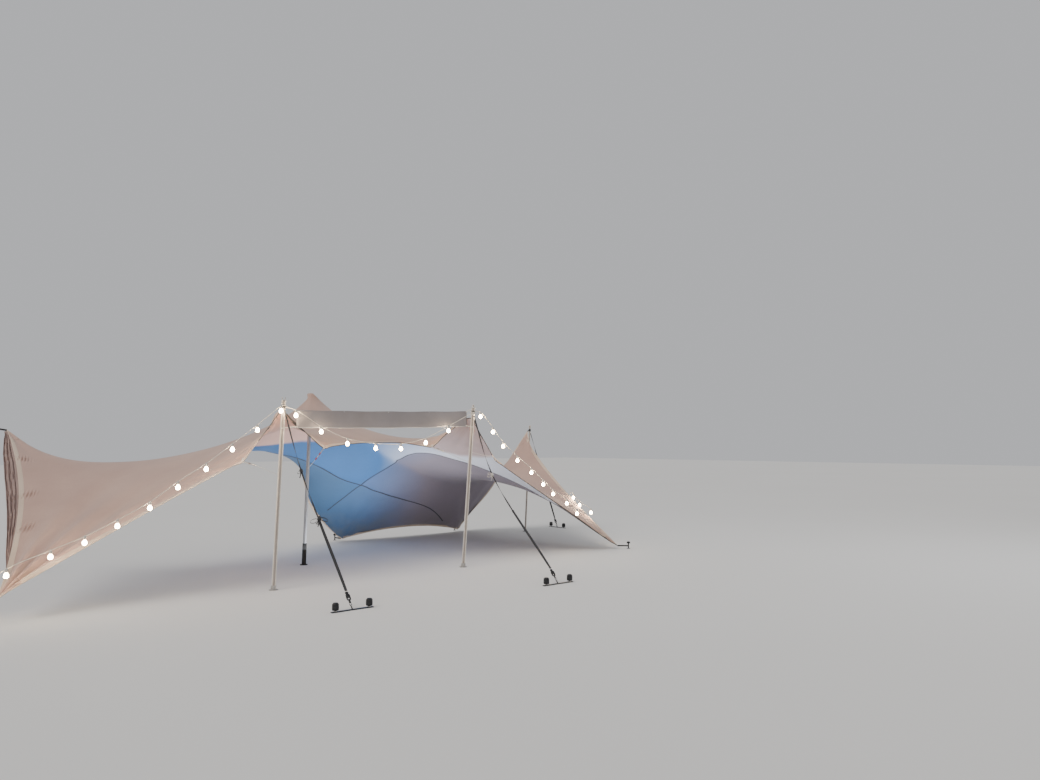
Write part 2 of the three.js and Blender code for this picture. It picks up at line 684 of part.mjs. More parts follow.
const rightRun = [
  at(1935, -345, 2857), at(2235, -330, 2576), at(2488, -320, 2310), at(2849, -310, 2035), at(3209, -300, 1795),
  at(3523, -290, 1558), at(3794, -280, 1357), at(4179, -270, 1154), at(4469, -260, 932), at(4800, -110, 830),
  at(5230, 280, 800), at(5580, 500, 800), at(5775, 650, 822), at(5808, 1050, 968), at(5832, 1280, 1118),
  at(5880, 1420, 1150),
];
const tailRow = 16;
const tailNode = cloth.nodes[tailRow / MESH_STEP * (COLUMNS + 1) + COLUMNS];
festoon('festoon_right', [
  poleSeat('front_right', 2880, rightRun[0], CABLE_RADIUS), ...rightRun,
  clothSeat(tailNode, GRID_X, tailRow, rightRun.at(-1), CABLE_END_CLEAR),
], [0, 10, 11, 12, 16, 17]);

export default group;
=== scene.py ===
"""Looks of the stretch tent: canopy, poles, straps, bare banner and strings of lamps, in metres."""

import math

import bmesh
import bpy
import numpy as np
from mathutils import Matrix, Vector


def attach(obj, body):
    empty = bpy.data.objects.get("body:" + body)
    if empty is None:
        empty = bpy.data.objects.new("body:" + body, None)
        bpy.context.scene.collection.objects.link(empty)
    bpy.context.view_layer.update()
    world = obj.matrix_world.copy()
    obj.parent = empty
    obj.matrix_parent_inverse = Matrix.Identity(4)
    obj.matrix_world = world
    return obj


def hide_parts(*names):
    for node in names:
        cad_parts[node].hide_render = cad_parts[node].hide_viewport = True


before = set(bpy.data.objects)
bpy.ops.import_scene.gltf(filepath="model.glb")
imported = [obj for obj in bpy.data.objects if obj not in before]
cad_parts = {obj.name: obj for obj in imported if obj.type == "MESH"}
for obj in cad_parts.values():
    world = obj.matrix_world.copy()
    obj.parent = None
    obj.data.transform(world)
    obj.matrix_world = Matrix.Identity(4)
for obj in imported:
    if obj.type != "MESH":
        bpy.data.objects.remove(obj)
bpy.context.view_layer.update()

# Driving dimensions, in metres
FRONT_MID = np.array([0.36, -2.12, 0.0])
GRID_X = 80
GRID_Y = 40
CLOTH_THICK = 0.0016
HEM_WIDTH = 0.060
BAND_THICK = 0.0022
FRONT_POLE_RADIUS = 0.031
SIDE_POLE_RADIUS = 0.025
KING_RADIUS = 0.032
STRAP_WIDTH = 0.035
GUY_STRAP = 0.024
GUY_DOUBLE = 0.042
CABLE_RADIUS = 0.005
RATCHET_LENGTH = 0.210
EYE_LENGTH = 0.060
ANCHOR_SPREAD = 0.510
BANNER_HEIGHT = 0.290
BANNER_SAG = 0.015

# Where along a guy its strap is doubled, as a share, and how often it turns over
GUY_DOUBLE_FROM = 0.62
GUY_TWISTS = 2.5

# Strengths of the lights and of the lamps' glow, and half the width of the floor
KEY_STRENGTH = 1.9
FILL_POWER = 350.0
INSIDE_POWER = 90.0
SKY_STRENGTH = 0.62
FLOOR = 90
LAMP_STRENGTH = 100.0

# Camera: where the photo was taken from
CAMERA_AT = (-6.364, -14.065, 2.25)
CAMERA_PITCH = 94.03
CAMERA_HEADING = -39.63
CAMERA_LENS = 27.03


def at(x, y, z):
    """Turns a point measured from the middle of the open front into the part's frame."""
    return np.array([x, y, z], float) + FRONT_MID


def all_at(*points):
    return [at(*point) for point in points]


POLES = {
    "front_left": (at(-1.812, 0, 0), at(-1.792, -0.196, 2.905), FRONT_POLE_RADIUS),
    "front_right": (at(1.804, 0, 0), at(1.799, -0.300, 2.930), FRONT_POLE_RADIUS),
    "king": (at(-0.360, 2.120, 0), at(-0.290, 2.105, 3.165), KING_RADIUS),
    "side_left": (at(-5.200, 3.900, 0), at(-5.300, 3.960, 2.720), SIDE_POLE_RADIUS),
    "side_right": (at(6.510, 3.820, 0), at(6.720, 3.880, 2.720), SIDE_POLE_RADIUS),
}

# Points that hold the canopy
CORNER_LEFT = at(-5.420, -0.050, 0.320)
CORNER_RIGHT = at(5.830, -0.100, 0.075)
PEAK_FRONT_LEFT = at(-1.785, -0.110, 2.780)
PEAK_FRONT_RIGHT = at(1.880, -0.190, 2.730)
PEAK_SIDE_LEFT = at(-4.970, 3.800, 2.500)
PEAK_SIDE_RIGHT = at(6.440, 3.650, 2.600)
REAR_LEFT_PEG = at(1.870, 5.030, 0.060)
REAR_RIGHT_PEG = at(5.200, 5.000, 0.060)
KING_TOP = at(-0.290, 2.105, 3.239)
PEAK_FALL = np.array([0.0, 0.160, -0.015])
SHOULDER_FALL = np.array([-0.240, 0.0, -0.035])
KINKS = {
    24: at(-2.360, -0.050, 2.000), 32: at(-1.030, -0.050, 2.200),
    48: at(1.080, -0.050, 2.210), 56: at(2.500, -0.050, 1.960),
}
REAR_EDGE_LEFT = all_at(
    (-4.30, 3.15, 1.96), (-3.30, 2.82, 1.74), (-2.10, 2.95, 1.94), (-0.92, 3.45, 2.19), (0.09, 4.00, 2.02),
    (0.45, 4.20, 1.80), (0.66, 4.42, 1.37), (0.86, 4.62, 0.96), (1.33, 4.87, 0.49),
)
REAR_EDGE_RIGHT = all_at((5.58, 4.85, 0.55), (5.88, 4.50, 1.09), (6.08, 4.10, 1.72))
COLUMN_POLE_LEFT = 28
COLUMN_POLE_RIGHT = 52
COLUMN_PEG_LEFT = 46
COLUMN_PEG_RIGHT = 64
KING_COLUMN = 37
KING_ROW = 19
REAR_SQUEEZE = 0.46

BANNER_LEFT = at(-1.590, -0.230, 2.660)
BANNER_RIGHT = at(1.700, -0.230, 2.730)

GUYS = {
    "front_left": (2.850, at(-1.560, -2.120, 0), (1, 0, 0), (-0.050, 0, -0.040)),
    "front_right": (2.850, at(1.960, -2.430, 0), (1, 0, 0), (-0.150, 0, -0.170)),
    "side_left": (2.640, at(-6.600, 4.200, 0), (0, 1, 0), (0, 0, 0)),
    "side_right": (2.640, at(7.850, 4.050, 0), (0, 1, 0), (0, 0, 0)),
}
PEGS = {
    "corner_left": (at(-6.000, -0.150, 0), CORNER_LEFT),
    "corner_right": (at(6.080, -0.190, 0), CORNER_RIGHT),
    "rear_left": (at(1.830, 5.270, 0), REAR_LEFT_PEG),
    "rear_right": (at(5.260, 5.240, 0), REAR_RIGHT_PEG),
}


# Small geometry helpers
def unit(v):
    v = np.asarray(v, float)
    return v / np.linalg.norm(v)


def new_object(name, vertices, faces, materials, face_materials=None, smooth=True):
    mesh = bpy.data.meshes.new(name)
    mesh.from_pydata([tuple(map(float, v)) for v in vertices], [], [tuple(map(int, f)) for f in faces])
    for material in materials:
        mesh.materials.append(material)
    if face_materials is not None:
        mesh.polygons.foreach_set("material_index", np.asarray(face_materials, np.int32))
    mesh.polygons.foreach_set("use_smooth", np.full(len(mesh.polygons), smooth))
    mesh.update()
    piece = bpy.data.objects.new(name, mesh)
    bpy.context.scene.collection.objects.link(piece)
    return piece


def placed(piece):
    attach(piece, "root")
    return piece


class Shape:
    """Collects the solids of one piece before they become a mesh."""

    def __init__(self):
        self.vertices = []
        self.faces = []
        self.material = []

    def grow(self, vertices, faces, material=0):
        start = len(self.vertices)
        self.vertices.extend(vertices)
        self.faces.extend([[start + k for k in face] for face in faces])
        self.material.extend([material] * len(faces))

    def sweep(self, points, profile, across, material=0, closed=False):
        """Lays a profile, given as (across, up) pairs, along a row of points."""
        points = np.asarray(points, float)
        count = len(points)
        rows = []
        for k in range(count):
            before = points[k - 1] if closed or k > 0 else points[0]
            after = points[(k + 1) % count] if closed or k + 1 < count else points[-1]
            along = unit(after - before)
            side = unit(across - np.dot(across, along) * along) if np.ndim(across) == 1 else across[k]
            up = np.cross(side, along)
            rows.extend(points[k] + a * side + b * up for a, b in profile)
        self.grow(rows, tube_faces(count, len(profile), closed), material)

    def tube(self, points, radius, material=0, sides=10, closed=False):
        profile = ring(radius, sides)
        points = np.asarray(points, float)
        axis = unit(points[-1] - points[0]) if not closed else np.array([0.0, 0.0, 1.0])
        across = np.array([1.0, 0.0, 0.0]) if abs(axis[0]) < 0.9 else np.array([0.0, 1.0, 0.0])
        self.sweep(points, profile, across, material, closed)

    def turned(self, profile, base, direction, material=0, sides=24):
        """Turns a profile of (radius, height) pairs about a line."""
        direction = unit(direction)
        side = unit(np.cross(direction, [0.3, 1.0, 0.2]))
        other = np.cross(direction, side)
        rows = []
        for radius, height in profile:
            centre = base + height * direction
            rows.extend(centre + a * side + b * other for a, b in ring(radius, sides))
        self.grow(rows, tube_faces(len(profile), sides), material)

    def block(self, centre, size, axes, material=0, bevel=0.15):
        """A block with its edges taken off, lying along three axes."""
        x, y, z = (np.asarray(a, float) for a in axes)
        cut = bevel * min(size)
        outline = [
            (-1, -1, 1, 0), (-1, -1, 0, 1), (-1, 1, 0, -1), (-1, 1, 1, 0),
            (1, 1, -1, 0), (1, 1, 0, -1), (1, -1, 0, 1), (1, -1, -1, 0),
        ]
        rows = []
        for end, pull in ((-1, cut), (-1, 0), (1, 0), (1, cut)):
            height = end * (size[2] / 2 - (0 if pull else cut))
            for a, b, da, db in outline:
                px = a * (size[0] / 2 - pull) + da * cut
                py = b * (size[1] / 2 - pull) + db * cut
                rows.append(np.asarray(centre) + px * x + py * y + height * z)
        self.grow(rows, tube_faces(4, len(outline)), material)

    def make(self, name, materials, angle=40):
        piece = new_object(name, self.vertices, self.faces, materials, self.material)
        fix_normals(piece)
        piece.data.set_sharp_from_angle(angle=math.radians(angle))
        return placed(piece)


def tube_faces(rows, size, closed=False):
    """Faces that join rows of this many points, with ends unless the rows close into a ring."""
    faces = []
    for k in range(rows if closed else rows - 1):
        n = (k + 1) % rows
        for c in range(size):
            d = (c + 1) % size
            faces.append([k * size + c, k * size + d, n * size + d, n * size + c])
    if not closed:
        faces.append(list(range(size)))
        faces.append([(rows - 1) * size + c for c in reversed(range(size))])
    return faces


def ring(radius, sides):
    turns = [2 * math.pi * s / sides for s in range(sides)]
    return [(radius * math.cos(turn), radius * math.sin(turn)) for turn in turns]


def rounded_bar(width, thick, corner=0.35):
    """Profile of a strap with rounded edges."""
    a = width / 2
    b = thick / 2
    c = corner * thick
    half = [(-a + c, -b), (a - c, -b), (a, -b + c), (a, b - c)]
    return half + [(-x, -y) for x, y in half]


def fix_normals(piece):
    bm = bmesh.new()
    bm.from_mesh(piece.data)
    bmesh.ops.recalc_face_normals(bm, faces=bm.faces)
    bm.to_mesh(piece.data)
    bm.free()


def curve_points(points, count, squeeze=0.0):
    """Even points along a centripetal curve through `points`; `squeeze` draws them to its start."""
    p = np.array(points, float)
    p = np.vstack([2 * p[0] - p[1], p, 2 * p[-1] - p[-2]])
    dense = []
    for s in range(len(p) - 3):
        p0, p1, p2, p3 = p[s:s + 4]
        d0, d1, d2 = (max(np.linalg.norm(b - a) ** 0.5, 1e-4) for a, b in ((p0, p1), (p1, p2), (p2, p3)))
        t1 = ((p1 - p0) / d0 - (p2 - p0) / (d0 + d1) + (p2 - p1) / d1) * d1
        t2 = ((p2 - p1) / d1 - (p3 - p1) / (d1 + d2) + (p3 - p2) / d2) * d1
        c2 = -3 * p1 + 3 * p2 - 2 * t1 - t2
        c3 = 2 * p1 - 2 * p2 + t1 + t2
        for w in np.linspace(0, 1, 41)[(1 if s else 0):]:
            dense.append(p1 + t1 * w + c2 * w * w + c3 * w**3)
    dense = np.array(dense)
    run = np.concatenate([[0], np.cumsum(np.linalg.norm(np.diff(dense, axis=0), axis=1))])
    t = np.arange(count + 1) / count
    where = (t - squeeze * t * (1 - t)) * run[-1]
    return np.stack([np.interp(where, run, dense[:, a]) for a in range(3)], axis=1)


# Materials
ALONG_TUBE = (1.0, 1.0, 0.04)


class Nodes:
    """A material's node tree with short calls for what the materials here need."""

    def __init__(self, name):
        self.material = bpy.data.materials.new(name)
        self.material.use_nodes = True
        self.tree = self.material.node_tree
        self.shader = self.tree.nodes["Principled BSDF"]
        self.place = self.tree.nodes.new("ShaderNodeTexCoord").outputs["Object"]

    def link(self, output, socket):
        self.tree.links.new(output, socket)

    def set(self, **values):
        for key, value in values.items():
            self.shader.inputs[key.replace("_", " ")].default_value = value

    def add(self, kind, **values):
        """A new node with its inputs set to numbers, colours or other nodes' outputs."""
        node = self.tree.nodes.new("ShaderNode" + kind)
        for key, value in values.items():
            socket = node.inputs[key.replace("_", " ")]
            if isinstance(value, bpy.types.NodeSocket):
                self.link(value, socket)
            else:
                socket.default_value = value
        return node

    def noise(self, scale, detail=4.0, rough=0.55, stretch=None):
        place = self.place
        if stretch is not None:
            place = self.add("Mapping", Vector=place, Scale=stretch).outputs["Vector"]
        return self.add("TexNoise", Vector=place, Scale=scale, Detail=detail, Roughness=rough).outputs["Fac"]

    def bands(self, scale, axis):
        node = self.add("TexWave", Vector=self.place, Scale=scale)
        node.bands_direction = axis
        return node.outputs["Fac"]

    def tint(self, name):
        node = self.add("Attribute")
        node.attribute_name = name
        return node.outputs["Color"]

    def facing(self):
        return self.add("LayerWeight", Blend=0.5).outputs["Facing"]

    def height(self):
        return self.add("SeparateXYZ", Vector=self.place).outputs["Z"]

    def span(self, value, low, high, to_low=0.0, to_high=1.0):
        ends = {"From_Min": low, "From_Max": high, "To_Min": to_low, "To_Max": to_high}
        return self.add("MapRange", Value=value, **ends).outputs["Result"]

    def times(self, a, b):
        node = self.add("Math")
        node.operation = "MULTIPLY"
        for socket, value in zip(node.inputs, (a, b)):
            if isinstance(value, float):
                socket.default_value = value
            else:
                self.link(value, socket)
        return node.outputs["Value"]

    def mix(self, factor, a, b):
        node = self.tree.nodes.new("ShaderNodeMix")
        node.data_type = "RGBA"
        if isinstance(factor, float):
            node.inputs["Factor"].default_value = factor
        else:
            self.link(factor, node.inputs["Factor"])
        for socket, value in ((node.inputs["A"], a), (node.inputs["B"], b)):
            if isinstance(value, tuple):
                socket.default_value = (*value, 1.0)
            else:
                self.link(value, socket)
        return node.outputs["Result"]

    def colour(self, output):
        self.link(output, self.shader.inputs["Base Color"])

    def roughness(self, output):
        self.link(output, self.shader.inputs["Roughness"])

    def bump(self, *layers):
        """Each layer is (height output, strength, distance)."""
        last = None
        for output, strength, distance in layers:
            node = self.add("Bump", Strength=strength, Distance=distance, Height=output)
            if last is not None:
                self.link(last, node.inputs["Normal"])
            last = node.outputs["Normal"]
        self.link(last, self.shader.inputs["Normal"])


def cloth_detail(n, light, dark, soil):
    """Colour of a stretch cloth: soft clouds, fine knit and soil near the ground."""
    fine = n.noise(60, 3)
    base = n.mix(n.span(n.noise(0.9, 5, 0.6), 0.32, 0.68), dark, light)
    speck = n.mix(n.span(fine, 0.35, 0.65, 0.0, 0.3), base, dark)
    streaks = n.noise(3.0, 4, 0.6, (1.0, 1.0, 0.25))
    low = n.span(n.height(), 0.02, 0.75, 1.0, 0.0)
    stain = n.times(low, n.span(streaks, 0.38, 0.72))
    n.roughness(n.span(fine, 0.3, 0.7, 0.60, 0.80))
    n.bump((n.noise(9, 3), 0.10, 0.010), (n.noise(420, 2), 0.22, 0.0006))
    return n.mix(n.times(stain, 0.75), speck, soil)


def fabric_material(name, light, dark, soil, sheen):
    n = Nodes(name)
    n.colour(cloth_detail(n, light, dark, soil))
    n.set(Sheen_Weight=sheen, Sheen_Roughness=0.5, Specular_IOR_Level=0.3)
    return n.material


def underside_material(name, soil):
    """Underside of the canopy, its colour read from a point attribute of painted blue light, painted lamp
    light and painted shade that changes from one part of the sheet to the next.
    """
    n = Nodes(name)
    # Painted light and painted shade, stored on the sheet's points
    light = n.tint("underside_painted_light")
    n.colour(cloth_detail(n, light, n.mix(0.16, light, (0.02, 0.02, 0.03)), soil))
    n.set(Sheen_Weight=0.12, Sheen_Roughness=0.5, Specular_IOR_Level=0.3)
    return n.material


def webbing_material(name, light, dark):
    n = Nodes(name)
    ribs = n.bands(190, "Z")
    yarn = n.noise(900, 2)
    n.colour(n.mix(n.span(n.noise(14, 4), 0.3, 0.7), dark, light))
    n.roughness(n.span(yarn, 0.3, 0.7, 0.6, 0.85))
    n.bump((ribs, 0.35, 0.0008), (yarn, 0.3, 0.0004))
    n.set(Sheen_Weight=0.15)
    return n.material


def metal_material(name, light, dark, rough):
    n = Nodes(name)
    lines = n.noise(70, 4, 0.6, ALONG_TUBE)
    spots = n.noise(11, 5, 0.65)
    tone = n.mix(n.span(lines, 0.35, 0.65), dark, light)
    grime = n.span(n.height(), 0.05, 0.55, 0.6, 0.0)
    n.colour(n.mix(n.times(grime, n.span(spots, 0.4, 0.65)), tone, (0.10, 0.085, 0.06)))
    n.roughness(n.span(spots, 0.3, 0.7, rough - 0.08, rough + 0.14))
    n.bump((lines, 0.12, 0.0006), (n.noise(260, 2), 0.10, 0.0003))
    n.set(Metallic=1.0)
    return n.material


def pole_material():
    """Dull silver tube with painted highlights: bright along both sides, darker along the middle, painted by
    how squarely the surface faces the view.
    """
    n = Nodes("pole_tube_painted_highlights")
    # Painted highlight and painted shade: the sides turned away from the view are painted bright, the middle
    # dark
    side = n.span(n.facing(), 0.10, 0.42)
    spots = n.noise(11, 5, 0.65)
    painted_highlight = n.mix(n.span(spots, 0.35, 0.7), (0.95, 0.90, 0.82), (0.80, 0.74, 0.66))
    lines = n.noise(70, 4, 0.6, ALONG_TUBE)
    painted_dark_middle = n.mix(n.span(lines, 0.35, 0.65), (0.40, 0.35, 0.31), (0.30, 0.26, 0.23))
    n.colour(n.mix(side, painted_dark_middle, painted_highlight))
    n.roughness(n.span(spots, 0.3, 0.7, 0.30, 0.50))
    n.bump((n.noise(260, 2), 0.10, 0.0003))
    n.set(Metallic=0.35)
    return n.material


def plain_material(name, light, dark, rough, scale=30.0, grain=300.0, metal=0.0):
    n = Nodes(name)
    n.colour(n.mix(n.span(n.noise(scale, 4), 0.35, 0.65), dark, light))
    n.roughness(n.span(n.noise(scale * 2, 3), 0.3, 0.7, rough - 0.08, rough + 0.08))
    n.bump((n.noise(grain, 3), 0.18, 0.0005))
    n.set(Metallic=metal)
    return n.material


def bulb_material():
    n = Nodes("lamp_glass")
    glow = n.mix(n.span(n.noise(24, 2), 0.3, 0.7), (1.0, 0.74, 0.45), (1.0, 0.82, 0.58))
    n.colour(glow)
    n.link(glow, n.shader.inputs["Emission Color"])
    n.set(Emission_Strength=LAMP_STRENGTH, Roughness=0.15)
    n.bump((n.noise(40, 1), 0.05, 0.0005))
    return n.material


def banner_material():
    n = Nodes("banner_cloth")
    weave = n.noise(520, 2)
    clouds = n.noise(2.2, 4)
    n.colour(n.mix(n.span(clouds, 0.3, 0.7), (0.225, 0.200, 0.200), (0.275, 0.245, 0.245)))
    n.roughness(n.span(weave, 0.3, 0.7, 0.45, 0.62))
    n.bump((n.noise(12, 3), 0.12, 0.006), (weave, 0.18, 0.0004))
    n.set(Sheen_Weight=0.1)
    return n.material


MAT = {
    "inner": underside_material("canopy_inside_painted_light", (0.20, 0.19, 0.16)),
    "webbing": webbing_material("black_webbing", (0.030, 0.028, 0.030), (0.014, 0.013, 0.015)),
    "light_webbing": webbing_material("light_webbing", (0.62, 0.58, 0.54), (0.45, 0.41, 0.38)),
    "red_webbing": webbing_material("red_webbing", (0.45, 0.05, 0.05), (0.28, 0.03, 0.04)),
    "rope": webbing_material("tie_cord", (0.78, 0.74, 0.68), (0.60, 0.56, 0.51)),
    "pole": pole_material(),
    "king": metal_material("king_pole_tube", (0.50, 0.51, 0.54), (0.36, 0.37, 0.40), 0.42),
    "bulb": bulb_material(),
    "banner": banner_material(),
}
FABRICS = {
    "outer": ("canopy_outside", (0.505, 0.338, 0.278), (0.42, 0.276, 0.228), (0.17, 0.14, 0.09), 0.2),
    "hem": ("canopy_hem", (0.66, 0.53, 0.42), (0.54, 0.42, 0.33), (0.22, 0.18, 0.12), 0.2),
    # The gathered band's darker colour is painted shade
    "band": ("gathered_band", (0.39, 0.265, 0.230), (0.25, 0.170, 0.150), (0.08, 0.07, 0.05), 0.2),
    # The seams' dark colour is painted shade along the underside's fold lines
    "seam": ("seam_painted_shade", (0.060, 0.065, 0.080), (0.040, 0.042, 0.055), (0.05, 0.05, 0.05), 0.1),
    # The hem's dark band is painted shade
    "tape": ("hem_painted_shade", (0.090, 0.078, 0.072), (0.060, 0.052, 0.050), (0.05, 0.05, 0.05), 0.1),
    "banner_hem": ("banner_hem", (0.56, 0.52, 0.50), (0.47, 0.44, 0.42), (0.3, 0.3, 0.3), 0.1),
}
PLAIN = {
    "buckle": ("light_buckle", (0.72, 0.69, 0.66), (0.58, 0.55, 0.52), 0.4, 60, 300),
    "rubber": ("black_rubber", (0.022, 0.022, 0.023), (0.012, 0.012, 0.013), 0.72),
    "steel": ("black_steel", (0.040, 0.040, 0.042), (0.020, 0.020, 0.022), 0.42, 22, 220, 0.6),
    "zinc": ("zinc_plated", (0.55, 0.54, 0.52), (0.38, 0.37, 0.36), 0.34, 40, 300, 1.0),
    "cable": ("lamp_cable", (0.84, 0.76, 0.64), (0.70, 0.62, 0.52), 0.5, 40, 400),
    "holder": ("lamp_holder", (0.56, 0.52, 0.47), (0.44, 0.41, 0.37), 0.42, 30, 300),
}
MAT.update({key: fabric_material(*spec) for key, spec in FABRICS.items()})
MAT.update({key: plain_material(*spec) for key, spec in PLAIN.items()})


# Camera, floor and lights
def show(name, data, place=(0.0, 0.0, 0.0), turn=(0.0, 0.0, 0.0)):
    piece = bpy.data.objects.new(name, data)
    piece.location = place
    piece.rotation_euler = turn
    bpy.context.scene.collection.objects.link(piece)
    return piece


def add_camera():
    data = bpy.data.cameras.new("photo_camera")
    data.lens = CAMERA_LENS
    data.sensor_width = 36.0
    data.clip_end = 400.0
    turn = (math.radians(CAMERA_PITCH), 0.0, math.radians(CAMERA_HEADING))
    bpy.context.scene.camera = show("photo_camera", data, CAMERA_AT, turn)


def add_floor():
    n = Nodes("pale_floor")
    n.colour(n.mix(n.noise(0.15, 2), (0.66, 0.655, 0.645), (0.70, 0.695, 0.685)))
    n.set(Roughness=0.9)
    corners = [(-FLOOR, -FLOOR, 0), (FLOOR, -FLOOR, 0), (FLOOR, FLOOR, 0), (-FLOOR, FLOOR, 0)]
    new_object("floor", corners, [(0, 1, 2, 3)], [n.material], smooth=False)


def add_light(name, place, aim, size, power, colour):
    """A round lamp of the studio that lights the part and isn't seen itself."""
    data = bpy.data.lights.new(name, "AREA")
    data.shape = "DISK"
    data.size = size
    data.energy = power
    data.color = colour
    turn = (Vector(aim) - Vector(place)).to_track_quat("-Z", "Y").to_euler()
    show(name, data, place, turn).visible_camera = False


def add_sun(name, heading, elevation, strength, spread, colour):
    """Broad even light from a compass heading and a height, both in degrees."""
    data = bpy.data.lights.new(name, "SUN")
    data.energy = strength
    data.angle = math.radians(spread)
    data.color = colour
    show(name, data, turn=(math.radians(90 - elevation), 0.0, math.radians(heading)))


def add_world():
    world = bpy.data.worlds.new("studio")
    world.use_nodes = True
    back = world.node_tree.nodes["Background"]
    back.inputs["Color"].default_value = (0.86, 0.87, 0.90, 1.0)
    back.inputs["Strength"].default_value = SKY_STRENGTH
    bpy.context.scene.world = world


add_camera()
add_floor()
add_world()
add_sun("key", -75.0, 42.0, KEY_STRENGTH, 35.0, (1.0, 0.96, 0.90))
add_light("fill", (12.0, -12.0, 8.0), (1.0, 0.0, 1.0), 8.0, FILL_POWER, (0.94, 0.96, 1.0))
add_light("inside", (1.4, 0.2, 0.25), (1.4, 0.6, 3.0), 3.2, INSIDE_POWER, (0.93, 0.97, 1.0))


# Places on poles and pegs
def on_pole(name, height):
    foot, top, _ = POLES[name]
    return foot + (top - foot) * height / top[2]


def tube_gap(radius, axis, direction, half_width):
    cosine = abs(float(np.dot(unit(axis), direction)))
    return (radius + 0.0004 + half_width * cosine) / math.sqrt(1 - cosine * cosine)


def pole_seat(name, height, toward, half_width):
    foot, top, radius = POLES[name]
    start = on_pole(name, height)
    direction = unit(np.asarray(toward) - start)
    return start + direction * tube_gap(radius, top - foot, direction, half_width)


def peg_seat(foot, height, toward, radius, half_width):
    start = foot + np.array([0, 0, height])
    direction = unit(np.asarray(toward) - start)
    return start + direction * tube_gap(radius, (0, 0, 1), direction, half_width)


# Strings of lamps: profiles of a lamp, as radius and depth below the cable
LAMP_HOLDER = [
    (0.010, -0.010), (0.014, -0.006), (0.0145, 0.004), (0.017, 0.012), (0.018, 0.040), (0.0155, 0.046),
]
LAMP_COLLAR = [(0.0165, 0.020), (0.0195, 0.022), (0.0195, 0.027), (0.0165, 0.029)]
LAMP_GLASS = [
    (0.013, 0.044), (0.0145, 0.052), (0.020, 0.060), (0.0265, 0.070), (0.0298, 0.082),
    (0.0298, 0.090), (0.0270, 0.101), (0.0210, 0.110), (0.0120, 0.116), (0.0030, 0.118),
]


def lamp(name, point):
    """A lamp on its holder, hanging from the cable."""
    shape = Shape()
    down = np.array([0.0, 0.0, -1.0])
    shape.turned(LAMP_HOLDER, point, down, 0, 20)
    shape.turned(LAMP_COLLAR, point, down, 0, 20)
    shape.turned(LAMP_GLASS, point, down, 1, 24)
    return shape.make(name, [MAT["holder"], MAT["bulb"]], angle=60)


def festoon(name, points, bare):
    curve = bpy.data.curves.new(f"{name}_cable", "CURVE")
    curve.dimensions = "3D"
    curve.bevel_depth = CABLE_RADIUS
    curve.bevel_resolution = 3
    curve.use_fill_caps = True
    route = curve_points(points, 6 * (len(points) - 1))
    spline = curve.splines.new("POLY")
    spline.points.add(len(route) - 1)
    spline.points.foreach_set("co", np.column_stack([route, np.ones(len(route))]).ravel())
    curve.materials.append(MAT["cable"])
    cable = placed(show(f"{name}_cable", curve))
    lamps = [lamp(f"{name}_lamp_{k:02d}", p) for k, p in enumerate(points) if k not in bare]
    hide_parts(name)


# Where each lamp hangs along its string, with the bare points of the cable between them
LEFT_RUN = all_at(
    (-1.865, -0.280, 2.860), (-2.228, -0.275, 2.560), (-2.600, -0.275, 2.268), (-2.969, -0.270, 1.985),
    (-3.353, -0.270, 1.734), (-3.715, -0.265, 1.463), (-4.116, -0.260, 1.240), (-4.503, -0.255, 1.047),
    (-4.887, -0.245, 0.895), (-5.358, -0.230, 0.704), (-5.760, -0.200, 0.410),
)
MIDDLE_RUN = all_at(
    (-1.640, -0.320, 2.794), (-1.216, -0.330, 2.544), (-0.756, -0.330, 2.355), (-0.234, -0.330, 2.279),
    (0.250, -0.330, 2.268), (0.752, -0.330, 2.374), (1.223, -0.340, 2.588),
)
RIGHT_RUN = all_at(
    (1.935, -0.345, 2.857), (2.235, -0.330, 2.576), (2.488, -0.320, 2.310), (2.849, -0.310, 2.035),
    (3.209, -0.300, 1.795), (3.523, -0.290, 1.558), (3.794, -0.280, 1.357), (4.179, -0.270, 1.154),
    (4.469, -0.260, 0.932), (4.800, -0.110, 0.830), (5.230, 0.280, 0.800), (5.580, 0.500, 0.800),
    (5.775, 0.650, 0.822), (5.808, 1.050, 0.968), (5.832, 1.280, 1.118), (5.880, 1.420, 1.150),
)
festoon(
    "festoon_left",
    [pole_seat("front_left", 2.880, LEFT_RUN[0], CABLE_RADIUS), *LEFT_RUN,
     peg_seat(PEGS["corner_left"][0], 0.126, LEFT_RUN[-1], 0.038, CABLE_RADIUS)],
    (0, 11, 12),
)
festoon(
    "festoon_middle",
    [pole_seat("front_left", 2.850, MIDDLE_RUN[0], CABLE_RADIUS), *MIDDLE_RUN,
     pole_seat("front_right", 2.850, MIDDLE_RUN[-1], CABLE_RADIUS)],
    (0, 8),
)


